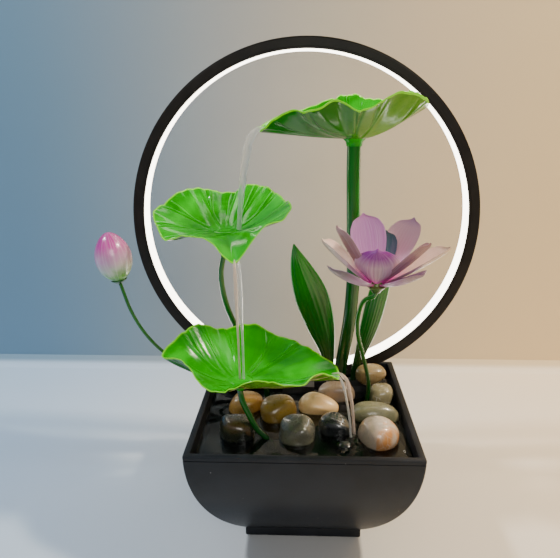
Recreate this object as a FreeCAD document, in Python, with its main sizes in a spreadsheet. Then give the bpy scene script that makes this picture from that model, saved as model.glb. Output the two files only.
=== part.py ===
import FreeCAD, Part
import math
import os
from types import SimpleNamespace

import Sketcher
from FreeCAD import Placement, Rotation, Vector

# Tabletop water fountain: a square bowl on a foot, a lit ring standing in the back of the
# bowl, and a lift-out tray of pebbles with a riser, three lotus leaves, a flower and a bud.
# Millimetres. Origin: centre of the foot pad's underside. +Z up, front towards -Y.

doc = FreeCAD.newDocument("tabletop_fountain")

# ------------------------------------------------------------------ driving dimensions
SIZES = (
    ("rim_half", 90.0, "half width of the square bowl at its rim"),
    ("rim_z", 102.5, "height of the rim"),
    ("bowl_wall", 5.3, "wall of the bowl"),
    ("bowl_floor", 5.0, "floor of the bowl"),
    ("foot_top", 49.0, "half width of the bowl where it meets its foot"),
    ("foot_half", 48.5, "half width of the foot"),
    ("foot_z", 10.0, "height of the foot's top"),
    ("pad_half", 44.0, "half width of the foam pad under the foot"),
    ("pad_thick", 1.5, "thickness of the foam pad"),
    ("lip_drop", 4.2, "depth of the rim band below the rim"),
    ("lip_high", 0.8, "height of the groove under the rim band"),
    ("lip_deep", 0.5, "depth of the groove under the rim band"),
    ("screw_radius", 1.5, "shank radius of every screw"),
    ("screw_head", 2.8, "head radius of every screw"),
    ("screw_head_high", 1.8, "head height of every screw"),
    ("screw_gap", 0.05, "radial clearance round a screw"),
    ("foot_screw_at", 34.0, "foot screws from the centre lines"),
    ("ring_out", 158.0, "outer radius of the ring"),
    ("ring_face", 10.0, "radial width of the ring's face"),
    ("ring_depth", 22.0, "depth of the ring, front to back"),
    ("ring_skin", 1.5, "wall of the ring's channel and back cover"),
    ("ring_sink", 8.5, "the ring's lowest point below the rim"),
    ("ring_wall_gap", 1.2, "gap between the ring and the bowl's back wall"),
    ("diffuser_thick", 1.6, "thickness of the milky diffuser band"),
    ("diffuser_proud", 0.4, "the diffuser stands inside the face by this much"),
    ("strip_thick", 0.5, "thickness of the flexible circuit strip"),
    ("strip_wide", 10.0, "width of the circuit strip"),
    ("chip_long", 3.5, "length of a light chip"),
    ("chip_wide", 2.8, "width of a light chip"),
    ("chip_high", 0.8, "height of a light chip"),
    ("wire_hole", 1.3, "radius of the small hole in the ring's face"),
    ("saddle_half", 40.0, "half length of the ring's saddle"),
    ("saddle_low", 84.0, "height of the saddle's underside"),
    ("saddle_high", 98.0, "height of the saddle's lips"),
    ("saddle_lip", 2.2, "thickness of the saddle's front lip"),
    ("snug", 0.05, "clearance of pieces that seat in each other"),
    ("saddle_screw_at", 28.0, "saddle screws from the middle"),
    ("saddle_screw_z", 90.0, "height of the saddle screws"),
    ("driver_left", -20.0, "left side of the driver box"),
    ("driver_right", 10.0, "right side of the driver box"),
    ("driver_front", 36.0, "front of the driver box"),
    ("driver_low", 66.0, "underside of the driver box"),
    ("driver_high", 99.0, "top of the driver box's lid"),
    ("driver_wall", 1.8, "wall of the driver box"),
    ("lid_thick", 2.2, "thickness of the driver box's lid"),
    ("board_thick", 1.6, "thickness of the driver board"),
    ("grommet_x", 60.0, "cable grommet from the middle"),
    ("grommet_z", 98.0, "height of the cable grommet"),
    ("grommet_radius", 2.6, "radius of the grommet's neck"),
    ("grommet_flange", 4.0, "radius of the grommet's flanges"),
    ("grommet_bore", 1.7, "radius of the cable hole"),
    ("tray_top", 83.0, "height of the tray's upper face"),
    ("tray_thick", 3.0, "thickness of the tray"),
    ("tray_gap", 1.0, "gap between the tray and the bowl"),
    ("tray_back", 58.0, "back edge of the tray"),
    ("tray_leg", 2.5, "radius of the tray's legs"),
    ("tray_leg_at", 41.5, "legs from the centre lines"),
    ("tray_leg_mid", 3.5, "the right back leg stands clear of the pump here"),
    ("slot_long", 16.0, "length of a drain slot"),
    ("slot_wide", 2.6, "width of a drain slot"),
    ("notch_gap", 1.0, "gap between the tray and the driver box"),
    ("base_left", 22.0, "left side of the plant base"),
    ("base_right", 64.0, "right side of the plant base"),
    ("base_front", 40.5, "front of the plant base"),
    ("base_high", 16.0, "height of the plant base above the tray"),
    ("riser_radius", 5.8, "outer radius of the riser"),
    ("riser_bore", 4.0, "bore radius of the riser"),
    ("riser_low", 90.0, "height of the riser's lower end"),
    ("riser_top", 331.0, "height of the riser's mouth"),
    ("hose_radius", 5.4, "outer radius of the feed hose"),
    ("running", 0.05, "radial clearance of a turning or sliding fit"),
    ("leaf_thick", 1.5, "thickness of a lotus leaf"),
    ("leaf_hole", "=riser_radius + 0.8", "radius of the hole at a leaf's centre"),
    ("collar_radius", "=leaf_hole + 2.0", "outer radius of a leaf's collar"),
    ("collar_low", 6.5, "collar below the leaf's centre"),
    ("collar_high", 2.0, "collar above the leaf's centre"),
    ("peg_radius", 1.7, "radius of the peg at a stem's top"),
    ("peg_long", 5.0, "length of the peg"),
    ("stem_bottom_leaf", 2.8, "stem radius, bottom leaf"),
    ("stem_middle_leaf", 2.6, "stem radius, middle leaf"),
    ("stem_flower", 1.9, "stem radius, flower"),
    ("stem_bud", 1.5, "stem radius, bud"),
    ("bud_long", 22.0, "half length of the bud"),
    ("bud_radius", 15.4, "radius of the bud"),
    ("petal_thick", 1.2, "thickness of a petal"),
    ("petal_long", 54.0, "length of an outer petal"),
    ("petal_half", 14.5, "half width of an outer petal"),
    ("inner_long", 55.0, "length of an inner petal"),
    ("inner_half", 15.5, "half width of an inner petal"),
    ("layer_thick", 1.2, "thickness of the disc that joins a layer of petals"),
    ("layer_radius", 4.9, "radius of that disc"),
    ("layer_step", 2.2, "height from one layer of petals to the next"),
    ("cup_radius", 8.0, "radius of the flower's green cup"),
    ("stub_radius", 2.6, "radius of the stub that the petal layers sit on"),
    ("seed_radius", 3.6, "radius of the flower's seed head"),
    ("petal_start", 4.5, "petals start this far from the flower's middle"),
    ("blade_thick", 2.0, "thickness of a blade leaf"),
    ("pump_x", 13.0, "pump centre, across"),
    ("pump_y", 30.0, "pump centre, front to back"),
    ("pump_long", 44.0, "length of the pump's body"),
    ("pump_wide", 38.0, "width of the pump's body"),
    ("pump_high", 36.0, "height of the pump's body"),
    ("cup_high", 4.0, "height of a suction foot"),
    ("suction_radius", 4.5, "radius of a suction foot"),
    ("chamber_radius", 13.0, "radius of the impeller chamber"),
    ("well_radius", 6.3, "radius of the rotor's well"),
    ("well_wall", 1.3, "wall of the rotor's well"),
    ("magnet_radius", 5.6, "radius of the rotor's magnet"),
    ("sleeve_radius", 2.6, "radius of the rotor's sleeve"),
    ("shaft_radius", 1.0, "radius of the impeller's shaft"),
    ("vane_radius", 11.5, "radius over the impeller's vanes"),
    ("outlet_x", 26.0, "pump outlet, across"),
    ("outlet_y", 40.0, "pump outlet, front to back"),
    ("nipple_radius", 4.0, "outer radius of the outlet nipple"),
    ("nipple_bore", 2.8, "bore radius of the outlet nipple"),
    ("nipple_long", 9.0, "length of the outlet nipple"),
    ("dial_radius", 9.5, "radius of the flow dial"),
    ("dial_thick", 2.4, "thickness of the flow dial"),
    ("dial_tab", 2.5, "the dial's tab stands out of the grille by this much"),
    ("inlet_radius", 6.5, "radius of the pump's inlet"),
)

# Loose pebbles: centre across and front to back, half sizes along X, Y and Z, turn about Z.
PEBBLES = (
    ("pebble_01_pale", 59.0, -46.0, 17.5, 17.5, 14.5, 15.0),
    ("pebble_02_black", 26.5, -30.0, 14.0, 12.5, 12.0, -10.0),
    ("pebble_03_long", 61.5, -6.5, 21.5, 12.0, 11.0, -6.0),
    ("pebble_04_tan", 71.5, 24.5, 11.5, 12.5, 12.5, 0.0),
    ("pebble_05_ochre", 63.5, 44.5, 14.0, 11.0, 9.5, 8.0),
    ("pebble_06_cream", 13.5, 4.5, 18.0, 12.0, 12.5, 0.0),
    ("pebble_07_taupe", 31.0, 28.0, 18.0, 10.5, 13.0, 0.0),
    ("pebble_08_yellow", -22.0, -9.5, 16.0, 15.0, 14.0, 0.0),
    ("pebble_09_orange", -51.0, 6.0, 16.0, 12.5, 12.0, 6.0),
    ("pebble_10_grey", -5.0, -41.5, 15.0, 14.5, 13.5, 0.0),
    ("pebble_11_olive", -55.5, -40.5, 16.0, 15.0, 13.0, 10.0),
    ("pebble_12_small", 33.0, -53.5, 6.5, 6.5, 6.0, 0.0),
)
RAISED = {"pebble_05_ochre"}

# Rims of the three leaves: angle from +X about the leaf's centre, radius, rise.
TOP_RIM = (
    (186, 78, 5), (198, 76, 9), (210, 72, 15), (224, 70, 21), (238, 66, 20), (252, 62, 27),
    (268, 61, 21), (281, 61, 25), (293, 62, 33), (306, 64, 33), (320, 64, 28), (337, 58, 23),
    (358, 52, 31), (18, 48, 36), (40, 37, 30), (66, 32, 31), (90, 30, 34), (113, 32, 32),
    (136, 40, 26), (154, 53, 21), (168, 66, 16), (178, 75, 10),
)
MIDDLE_RIM = (
    (186, 59, 17), (202, 57, 8), (217, 56, 0), (233, 50, 3), (250, 50, 5), (265, 51, 1),
    (275, 54, -8), (283, 56, -14), (290, 56, -8), (298, 57, 3), (306, 60, 13), (318, 64, 16),
    (332, 62, 22), (352, 54, 26), (12, 51, 24), (38, 51, 29), (56, 50, 33), (72, 47, 33),
    (88, 46, 27), (102, 45, 26), (119, 45, 31), (135, 46, 31), (152, 49, 29), (170, 54, 22),
)
BOTTOM_RIM = (
    (178, 62, 22), (202, 49, 26), (222, 45, 22), (238, 45, 13), (254, 46, 11), (268, 47, 15),
    (282, 50, 21), (296, 55, 23), (308, 62, 19), (316, 67, 18), (325, 71, 24), (336, 72, 20),
    (350, 77, 10), (358, 79, 5), (6, 78, 9), (16, 70, 12), (32, 66, 14), (48, 64, 16),
    (63, 60, 18), (77, 54, 28), (92, 51, 29), (110, 49, 27), (123, 48, 29), (137, 49, 35),
    (154, 52, 34), (167, 56, 29),
)
LEAF_CENTRES = {
    "top_leaf": (40.0, 26.0, 327.0),
    "middle_leaf": (-66.0, 12.0, 251.0),
    "bottom_leaf": (-51.0, -40.0, 140.0),
}

# Middle lines of the riser and the stems, from the foot up.
RISER_LINE = ((34.0, 48.0, 112.0), (37.5, 38.0, 140.0), (41.0, 30.0, 172.0), (42.6, 26.5, 205.0),
              (41.0, 26.0, 265.0))
HOSE_BENDS = ((0.0, 0.0, 14.0), (8.0, 8.0, 24.0))
BOTTOM_STEM = ((-26.0, -46.0, 83.0), (-29.0, -46.0, 91.0), (-37.5, -45.0, 100.5),
               (-44.5, -43.0, 113.0), (-50.0, -41.0, 126.0))
MIDDLE_STEM = ((-32.0, 26.0, 83.0), (-36.0, 25.0, 108.0), (-48.0, 21.0, 138.0),
               (-60.0, 17.0, 165.0), (-68.5, 14.5, 190.0), (-71.5, 13.0, 215.0),
               (-68.0, 12.0, 236.0))
FLOWER_STEM = ((57.0, 20.0, 83.0), (58.8, 19.5, 108.0), (52.0, 14.5, 141.0), (46.3, 8.0, 164.0),
               (45.9, 3.0, 182.0), (50.5, -3.5, 200.0))
BUD_STEM = ((-48.0, 27.0, 83.0), (-60.0, 24.0, 100.0), (-90.0, 18.0, 121.0),
            (-119.0, 12.0, 138.0), (-138.0, 7.0, 161.0), (-148.0, 5.0, 181.0))
BUD_FOOT = (-157.0, 5.0, 209.5)
FLOWER_CENTRE = (58.5, -8.0, 213.0)
# Petals: azimuth of the petal's middle line, lift above level, length and width as shares,
# how far it is cupped across and curled along.
OUTER_PETALS = ((172, 35, 1.00, 1.00, 0.36, 0.10), (214, 6, 0.83, 1.03, 0.30, 0.34),
                (320, 8, 0.74, 1.07, 0.26, 0.26), (0, 24, 1.13, 1.00, 0.34, 0.10),
                (92, 30, 0.80, 0.97, 0.36, 0.10))
INNER_PETALS = ((190, 50, 1.00, 0.80, 0.46, 0.12), (128, 69, 1.00, 1.24, 0.24, 0.10),
                (70, 50, 0.80, 0.75, 0.36, 0.10), (30, 51, 1.05, 1.24, 0.24, 0.10),
                (336, 36, 0.93, 0.77, 0.46, 0.12), (262, 44, 0.62, 1.14, 0.40, 0.30))
# Blade leaves: middle line and half width from the foot to the tip, and the fold's side.
LEFT_BLADE = (((25.2, 44.5, 99.5), 2.2), ((22.5, 43.0, 128.0), 6.5), ((17.0, 38.0, 158.0), 13.5),
              ((8.0, 29.0, 190.0), 15.5), ((-2.5, 25.0, 218.0), 9.0), ((-8.0, 23.0, 239.0), 1.0))
RIGHT_BLADE = (((47.5, 52.5, 99.5), 2.5), ((53.5, 46.0, 130.0), 5.5), ((59.5, 41.0, 155.0), 8.5),
               ((65.5, 37.0, 185.0), 9.5), ((70.5, 35.0, 210.0), 6.5), ((74.0, 34.0, 232.0), 1.0))


class Size:
    """A number together with the sheet expression that gives it."""

    def __init__(self, value, text):
        self.value = float(value)
        self.text = text

    def __add__(self, other):
        return Size(self.value + number(other), f"({self.text}+{words(other)})")

    def __sub__(self, other):
        return Size(self.value - number(other), f"({self.text}-{words(other)})")

    def __mul__(self, other):
        return Size(self.value * number(other), f"({self.text}*{words(other)})")

    def __truediv__(self, other):
        return Size(self.value / number(other), f"({self.text}/{words(other)})")

    def __neg__(self):
        return Size(-self.value, f"(-{self.text})")

    def __radd__(self, other):
        return Size(number(other) + self.value, f"({words(other)}+{self.text})")

    def __rsub__(self, other):
        return Size(number(other) - self.value, f"({words(other)}-{self.text})")

    def __rmul__(self, other):
        return Size(number(other) * self.value, f"({words(other)}*{self.text})")


def number(quantity):
    return quantity.value if isinstance(quantity, Size) else float(quantity)


def words(quantity):
    return quantity.text if isinstance(quantity, Size) else repr(float(quantity))


def fill_sheet():
    """Writes every size into the sheet and returns them by name."""
    sheet = doc.addObject("Spreadsheet::Sheet", "Sizes")
    rows = list(SIZES)
    for name, _, _, along, across, high, _ in PEBBLES:
        rows += [(f"{name}_along", along, "half length"), (f"{name}_across", across, "half width"),
                 (f"{name}_high", high, "half height")]
    for row, (alias, value, note) in enumerate(rows, start=1):
        sheet.set(f"A{row}", alias)
        sheet.set(f"B{row}", str(value))
        sheet.setAlias(f"B{row}", alias)
        sheet.set(f"C{row}", note)
    doc.recompute()
    return {alias: Size(getattr(sheet, alias), f"Sizes.{alias}") for alias, _, _ in rows}


SIZE_BY_NAME = fill_sheet()
S = SimpleNamespace(**SIZE_BY_NAME)
NODES = {}


# ------------------------------------------------------------------ building blocks
def bind(thing, **sizes):
    """Ties properties to the sheet; a double underscore stands for a dot."""
    for name, quantity in sizes.items():
        thing.setExpression(name.replace("__", "."), words(quantity))


def put(thing, at):
    bind(thing, Placement__Base__x=at[0], Placement__Base__y=at[1], Placement__Base__z=at[2])


def block(low, high):
    """A box between two corners."""
    thing = doc.addObject("Part::Box", "Block")
    bind(thing, Length=high[0] - low[0], Width=high[1] - low[1], Height=high[2] - low[2])
    put(thing, low)
    return thing


TURNS = {
    "X": Rotation(Vector(0, 1, 0), 90),
    "Y": Rotation(Vector(1, 0, 0), -90),
    "Z": Rotation(),
}


def rod(at, radius, length, axis="Z"):
    """A cylinder from a point along an axis."""
    thing = doc.addObject("Part::Cylinder", "Rod")
    thing.Placement = Placement(Vector(), TURNS[axis])
    bind(thing, Radius=radius, Height=length)
    put(thing, at)
    return thing


def cone(at, radius_low, radius_high, length, axis="Z"):
    """A cone from a point along an axis."""
    thing = doc.addObject("Part::Cone", "Cone")
    thing.Placement = Placement(Vector(), TURNS[axis])
    bind(thing, Radius1=radius_low, Radius2=radius_high, Height=length)
    put(thing, at)
    return thing


def fuse(*things):
    whole = doc.addObject("Part::MultiFuse", "Fuse")
    whole.Shapes = list(things)
    return whole


def common(one, other):
    shared = doc.addObject("Part::MultiCommon", "Common")
    shared.Shapes = [one, other]
    return shared


def cut(base, *tools):
    left = doc.addObject("Part::Cut", "Cut")
    left.Base = base
    left.Tool = tools[0] if len(tools) == 1 else fuse(*tools)
    return left


def feature(shape):
    thing = doc.addObject("Part::Feature", "Feature")
    thing.Shape = shape
    return thing


def node(label, thing):
    """Names a finished sub-part."""
    thing.Label = label
    NODES[label] = thing
    return thing


def origin_feature(body, role):
    return next(item for item in body.Origin.OriginFeatures if item.Role == role)


def new_sketch(body, role):
    sketch = body.newObject("Sketcher::SketchObject", "Sketch")
    sketch.AttachmentSupport = [(origin_feature(body, role), "")]
    sketch.MapMode = "FlatFace"
    return sketch


def drive(sketch, kind, *spots, size):
    """Adds a dimension whose value comes from the sheet."""
    index = sketch.addConstraint(Sketcher.Constraint(kind, *spots, number(size)))
    sketch.setExpression(f"Constraints[{index}]", words(size))


def close_loop(sketch, edges):
    for here in range(edges):
        sketch.addConstraint(Sketcher.Constraint("Coincident", here, 2, (here + 1) % edges, 1))


def outline(sketch, points):
    """A closed polygon with every corner dimensioned from the origin."""
    spots = [Vector(number(u), number(v), 0) for u, v in points]
    for here, spot in enumerate(spots):
        sketch.addGeometry(Part.LineSegment(spot, spots[(here + 1) % len(spots)]), False)
    close_loop(sketch, len(spots))
    for here, (u, v) in enumerate(points):
        drive(sketch, "DistanceX", -1, 1, here, 1, size=u)
        drive(sketch, "DistanceY", -1, 1, here, 1, size=v)


def turned(points, at):
    """A polygon of (along, radius) turned a full circle about a line along Y through a point."""
    body = doc.addObject("PartDesign::Body", "Turned")
    sketch = new_sketch(body, "YZ_Plane")
    outline(sketch, points)
    spin = body.newObject("PartDesign::Revolution", "Spin")
    spin.Profile = sketch
    spin.ReferenceAxis = (origin_feature(body, "Y_Axis"), [""])
    spin.Angle = 360
    body.Tip = spin
    put(body, at)
    return body


# ------------------------------------------------------------------ bowl and foot
ZERO = Size(0.0, "0")
ARC_RUN = S.rim_half - S.foot_top
ARC_RISE = S.rim_z - S.foot_z
SIDE_RADIUS = (ARC_RUN * ARC_RUN + ARC_RISE * ARC_RISE) / (ARC_RUN * 2)
SIDE_CENTRE = S.rim_half - SIDE_RADIUS
RIM_INNER = S.rim_half - S.bowl_wall
FLOOR_TOP = S.foot_z + S.bowl_floor


def side_half(radius, height):
    """Half width of the curved side at a height, as a plain number."""
    drop = number(S.rim_z) - height
    return number(SIDE_CENTRE) + math.sqrt(number(radius) ** 2 - drop ** 2)


def side_prism(role, radius, low):
    """A pad with the bowl's curved side profile: two arcs, upright at the rim."""
    body = doc.addObject("PartDesign::Body", "Prism")
    sketch = new_sketch(body, role)
    reach, middle, top, down = number(radius), number(SIDE_CENTRE), number(S.rim_z), number(low)
    lean = math.asin((top - down) / reach)
    half_low, half_top = middle + reach * math.cos(lean), middle + reach
    up = Vector(0, 0, 1)
    sketch.addGeometry(Part.LineSegment(Vector(-half_low, down, 0), Vector(half_low, down, 0)), False)
    sketch.addGeometry(
        Part.ArcOfCircle(Part.Circle(Vector(middle, top, 0), up, reach), -lean, 0.0), False)
    sketch.addGeometry(Part.LineSegment(Vector(half_top, top, 0), Vector(-half_top, top, 0)), False)
    sketch.addGeometry(
        Part.ArcOfCircle(Part.Circle(Vector(-middle, top, 0), up, reach), math.pi, math.pi + lean),
        False)
    close_loop(sketch, 4)
    for arc, side in ((1, 1), (3, -1)):
        drive(sketch, "DistanceX", -1, 1, arc, 3, size=SIDE_CENTRE * side)
        drive(sketch, "DistanceY", -1, 1, arc, 3, size=S.rim_z)
        drive(sketch, "Radius", arc, size=radius)
    drive(sketch, "DistanceY", -1, 1, 1, 1, size=low)
    drive(sketch, "DistanceY", -1, 1, 3, 2, size=low)
    drive(sketch, "DistanceY", -1, 1, 1, 2, size=S.rim_z)
    drive(sketch, "DistanceY", -1, 1, 3, 1, size=S.rim_z)
    pad = body.newObject("PartDesign::Pad", "Pad")
    pad.Profile = sketch
    pad.SideType = "Symmetric"
    bind(pad, Length=S.rim_half * 2 + 20)
    body.Tip = pad
    return body


def square_form(radius, low):
    """The form whose four sides all have the curved profile."""
    return common(side_prism("XZ_Plane", radius, low), side_prism("YZ_Plane", radius, low))


BOWL_OUTSIDE = square_form(SIDE_RADIUS, S.foot_z)
BOWL_CAVITY = square_form(SIDE_RADIUS - S.bowl_wall, FLOOR_TOP)
CORNERS = ((-1, -1), (1, -1), (1, 1), (-1, 1))
RING_Y = RIM_INNER - S.ring_wall_gap - S.ring_depth / 2
RING_Z = S.rim_z - S.ring_sink + S.ring_out
RING_FRONT = RING_Y - S.ring_depth / 2
RING_BACK = RING_Y + S.ring_depth / 2
GROMMET_INNER = RIM_INNER - 0.4
GROMMET_OUTER = S.rim_half + 0.02


def make_bowl():
    groove_z = S.rim_z - S.lip_drop
    wide = S.rim_half + 5
    deep = S.rim_half - S.lip_deep
    band = cut(block((-wide, -wide, groove_z), (wide, wide, groove_z + S.lip_high)),
               block((-deep, -deep, groove_z - 1), (deep, deep, groove_z + S.lip_high + 1)))
    holes = [rod((S.foot_screw_at * x, S.foot_screw_at * y, S.foot_z - 1),
                 S.screw_radius + S.screw_gap, S.bowl_floor - 0.4) for x, y in CORNERS]
    holes += [rod((S.saddle_screw_at * side, RING_BACK - 4, S.saddle_screw_z),
                  S.screw_radius + S.screw_gap, 20, "Y") for side in (-1, 1)]
    holes.append(rod((S.grommet_x, RING_BACK, S.grommet_z), S.grommet_radius + S.snug, 20, "Y"))
    node("bowl", cut(cut(BOWL_OUTSIDE, BOWL_CAVITY), band, *holes))


def make_foot():
    body = block((-S.foot_half, -S.foot_half, S.pad_thick), (S.foot_half, S.foot_half, S.foot_z))
    holes, screws = [], []
    for x, y in CORNERS:
        at = (S.foot_screw_at * x, S.foot_screw_at * y)
        head_z = S.pad_thick + 0.2
        holes.append(rod((*at, S.pad_thick - 1), S.screw_radius + S.screw_gap, S.foot_z + 2))
        holes.append(rod((*at, S.pad_thick - 1), S.screw_head + S.screw_gap,
                         S.screw_head_high + 1.2 + S.screw_gap))
        screws.append(fuse(rod((*at, head_z), S.screw_head, S.screw_head_high),
                           rod((*at, head_z), S.screw_radius, S.foot_z - S.pad_thick + 2.8)))
    node("bowl_foot", cut(body, *holes))
    node("foot_pad", block((-S.pad_half, -S.pad_half, ZERO), (S.pad_half, S.pad_half, S.pad_thick)))
    node("foot_screws", fuse(*screws))


def make_grommet():
    neck = rod((S.grommet_x, GROMMET_INNER - 1, S.grommet_z), S.grommet_radius,
               GROMMET_OUTER - GROMMET_INNER + 2, "Y")
    inner = rod((S.grommet_x, GROMMET_INNER - 1.3, S.grommet_z), S.grommet_flange, 1.3, "Y")
    outer = rod((S.grommet_x, GROMMET_OUTER, S.grommet_z), S.grommet_flange, 1.3, "Y")
    bore = rod((S.grommet_x, GROMMET_INNER - 3, S.grommet_z), S.grommet_bore, 16, "Y")
    node("cable_grommet", cut(fuse(neck, inner, outer), bore))


# ------------------------------------------------------------------ lit ring
FACE_INNER = S.ring_out - S.ring_face
DIFFUSER_INNER = FACE_INNER - S.diffuser_proud
HALF_DEPTH = S.ring_depth / 2
CHANNEL_INNER = S.ring_out - S.ring_skin
CHIPS = 60
HOLE_ANGLE = 45.7


def make_ring():
    axis = (ZERO, RING_Y, RING_Z)
    front, back = -HALF_DEPTH, HALF_DEPTH
    behind = back - S.ring_skin
    channel = turned(((front, FACE_INNER), (front, S.ring_out), (behind, S.ring_out),
                      (behind, CHANNEL_INNER), (front + S.ring_skin, CHANNEL_INNER),
                      (front + S.ring_skin, FACE_INNER)), axis)
    out = S.ring_out - 1.6
    angle = math.radians(HOLE_ANGLE)
    hole = rod((out * math.cos(angle), RING_FRONT - 1, RING_Z + out * math.sin(angle)),
               S.wire_hole, S.ring_skin, "Y")
    node("ring_channel", cut(channel, hole))
    node("ring_back_cover", turned(((behind, FACE_INNER), (behind, S.ring_out),
                                    (back, S.ring_out), (back, FACE_INNER)), axis))
    node("ring_diffuser", turned(
        ((front + S.ring_skin, DIFFUSER_INNER), (front + S.ring_skin, DIFFUSER_INNER + S.diffuser_thick),
         (behind, DIFFUSER_INNER + S.diffuser_thick), (behind, DIFFUSER_INNER)), axis))
    strip_inner = CHANNEL_INNER - S.strip_thick
    side = S.strip_wide / 2
    node("light_strip", turned(((-side, strip_inner), (-side, CHANNEL_INNER),
                                (side, CHANNEL_INNER), (side, strip_inner)), axis))
    node("light_chips", feature(chip_shape(number(strip_inner))))


def chip_shape(seat_radius):
    """Separate chips round the strip, each facing the middle of the ring."""
    long, wide, high = number(S.chip_long), number(S.chip_wide), number(S.chip_high)
    # a flat chip on a round strip: its long edges meet the strip, its middle stands off
    seat = math.sqrt(seat_radius ** 2 - (long / 2) ** 2)
    centre = Vector(0, number(RING_Y), number(RING_Z))
    chips = []
    for step in range(CHIPS):
        chip = Part.makeBox(long, wide, high, Vector(-long / 2, -wide / 2, seat - high))
        chip.Placement = Placement(centre, Rotation(Vector(0, 1, 0), 360.0 * step / CHIPS))
        chips.append(chip)
    return Part.makeCompound(chips)


def make_saddle():
    lip_front = RING_FRONT - S.saddle_lip
    bar = block((-S.saddle_half, lip_front, S.saddle_low),
                (S.saddle_half, S.rim_half, S.saddle_high))
    ring_space = rod((ZERO, RING_FRONT - S.snug, RING_Z), S.ring_out + S.snug,
                     S.ring_depth + S.snug * 2, "Y")
    holes = [rod((S.saddle_screw_at * side, RING_FRONT + 3, S.saddle_screw_z),
                 S.screw_radius + S.screw_gap, 30, "Y") for side in (-1, 1)]
    node("ring_saddle", cut(common(bar, BOWL_CAVITY), ring_space, *holes))
    head_y = S.rim_half - 0.1
    screws = [fuse(rod((S.saddle_screw_at * side, head_y, S.saddle_screw_z), S.screw_head,
                       S.screw_head_high, "Y"),
                   rod((S.saddle_screw_at * side, RING_FRONT + 5, S.saddle_screw_z),
                       S.screw_radius, head_y - RING_FRONT - 4, "Y")) for side in (-1, 1)]
    node("saddle_screws", fuse(*screws))


def make_driver():
    back = RING_FRONT - S.saddle_lip
    lid_z = S.driver_high - S.lid_thick
    wall = S.driver_wall
    outside = block((S.driver_left, S.driver_front, S.driver_low), (S.driver_right, back, lid_z))
    inside = block((S.driver_left + wall, S.driver_front + wall, S.driver_low + wall),
                   (S.driver_right - wall, back - wall, lid_z + 1))
    node("driver_box", cut(outside, inside))
    lid = block((S.driver_left, S.driver_front, lid_z), (S.driver_right, back, S.driver_high))
    rim = block((S.driver_left + wall + S.snug, S.driver_front + wall + S.snug, lid_z - 1.5),
                (S.driver_right - wall - S.snug, back - wall - S.snug, lid_z + 0.5))
    node("driver_lid", fuse(lid, rim))
    board_z = S.driver_low + wall
    node("driver_board", block(
        (S.driver_left + wall + 3, S.driver_front + wall + 0.5, board_z + 3),
        (S.driver_left + wall + 3 + S.board_thick, back - wall - 0.5, lid_z - 4)))


# ------------------------------------------------------------------ pump
PUMP_Z = FLOOR_TOP + S.cup_high + S.pump_high / 2
PUMP_LEFT = S.pump_x - S.pump_long / 2
PUMP_RIGHT = S.pump_x + S.pump_long / 2
CHAMBER_LEFT = S.pump_x + 6
WELL_LEFT = S.pump_x - 13


def along_pump(start, radius, length):
    """A rod on the pump's turning axis, which runs along X."""
    return rod((start, S.pump_y, PUMP_Z), radius, length, "X")


def pump_block(left, right, half_y, half_z):
    return block((left, S.pump_y - half_y, PUMP_Z - half_z),
                 (right, S.pump_y + half_y, PUMP_Z + half_z))


def make_pump():
    half_y, half_z = S.pump_wide / 2, S.pump_high / 2
    wall = Size(3.0, "3")
    casing = pump_block(PUMP_LEFT, PUMP_RIGHT, half_y, half_z)
    stator_space = pump_block(PUMP_LEFT - 1, CHAMBER_LEFT - 3, half_y - wall, half_z - wall)
    well_tube = along_pump(WELL_LEFT - S.well_wall, S.well_radius + S.well_wall,
                           CHAMBER_LEFT - WELL_LEFT)
    top = PUMP_Z + half_z
    nipple = rod((S.outlet_x, S.outlet_y, top - 1), S.nipple_radius, S.nipple_long + 1)
    node("pump_body", cut(
        fuse(cut(casing, stator_space), well_tube, nipple),
        along_pump(CHAMBER_LEFT, S.chamber_radius, PUMP_RIGHT - CHAMBER_LEFT + 1),
        along_pump(WELL_LEFT, S.well_radius, CHAMBER_LEFT - WELL_LEFT + 1),
        rod((S.outlet_x, S.outlet_y, PUMP_Z + 4), S.nipple_bore, 40)))
    node("pump_backplate", pump_block(PUMP_LEFT, PUMP_LEFT + 2, half_y - wall - S.snug,
                                      half_z - wall - S.snug))
    make_stator()
    make_rotor()
    make_pump_front(half_y, half_z)
    cups = []
    for x, y in CORNERS:
        at = (S.pump_x + S.pump_long * 0.36 * x, S.pump_y + S.pump_wide * 0.26 * y, FLOOR_TOP)
        cups.append(cone(at, S.suction_radius, S.suction_radius * 0.6, S.cup_high))
    node("suction_feet", fuse(*cups))


def make_stator():
    tube = S.well_radius + S.well_wall
    left, right = WELL_LEFT - 4, CHAMBER_LEFT - 5
    inner, outer, half_y = tube + 0.3, tube + 5.5, Size(6.0, "6")
    yoke = pump_block(left - 2, left + 1.5, half_y, outer)
    poles = [block((left, S.pump_y - half_y, PUMP_Z + low), (right, S.pump_y + half_y, PUMP_Z + high))
             for low, high in ((inner, outer), (-outer, -inner))]
    node("stator_core", fuse(yoke, *poles))
    coils = []
    for low, high in ((inner + 0.4, outer + 0.9), (-outer - 0.9, -inner - 0.4)):
        around = block((left + 3, S.pump_y - half_y - 3.5, PUMP_Z + low),
                       (right - 1, S.pump_y + half_y + 3.5, PUMP_Z + high))
        core = block((left + 2, S.pump_y - half_y - 0.1, PUMP_Z - outer - 0.1),
                     (right, S.pump_y + half_y + 0.1, PUMP_Z + outer + 0.1))
        coils.append(cut(around, core))
    node("stator_coil", fuse(*coils))


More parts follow.
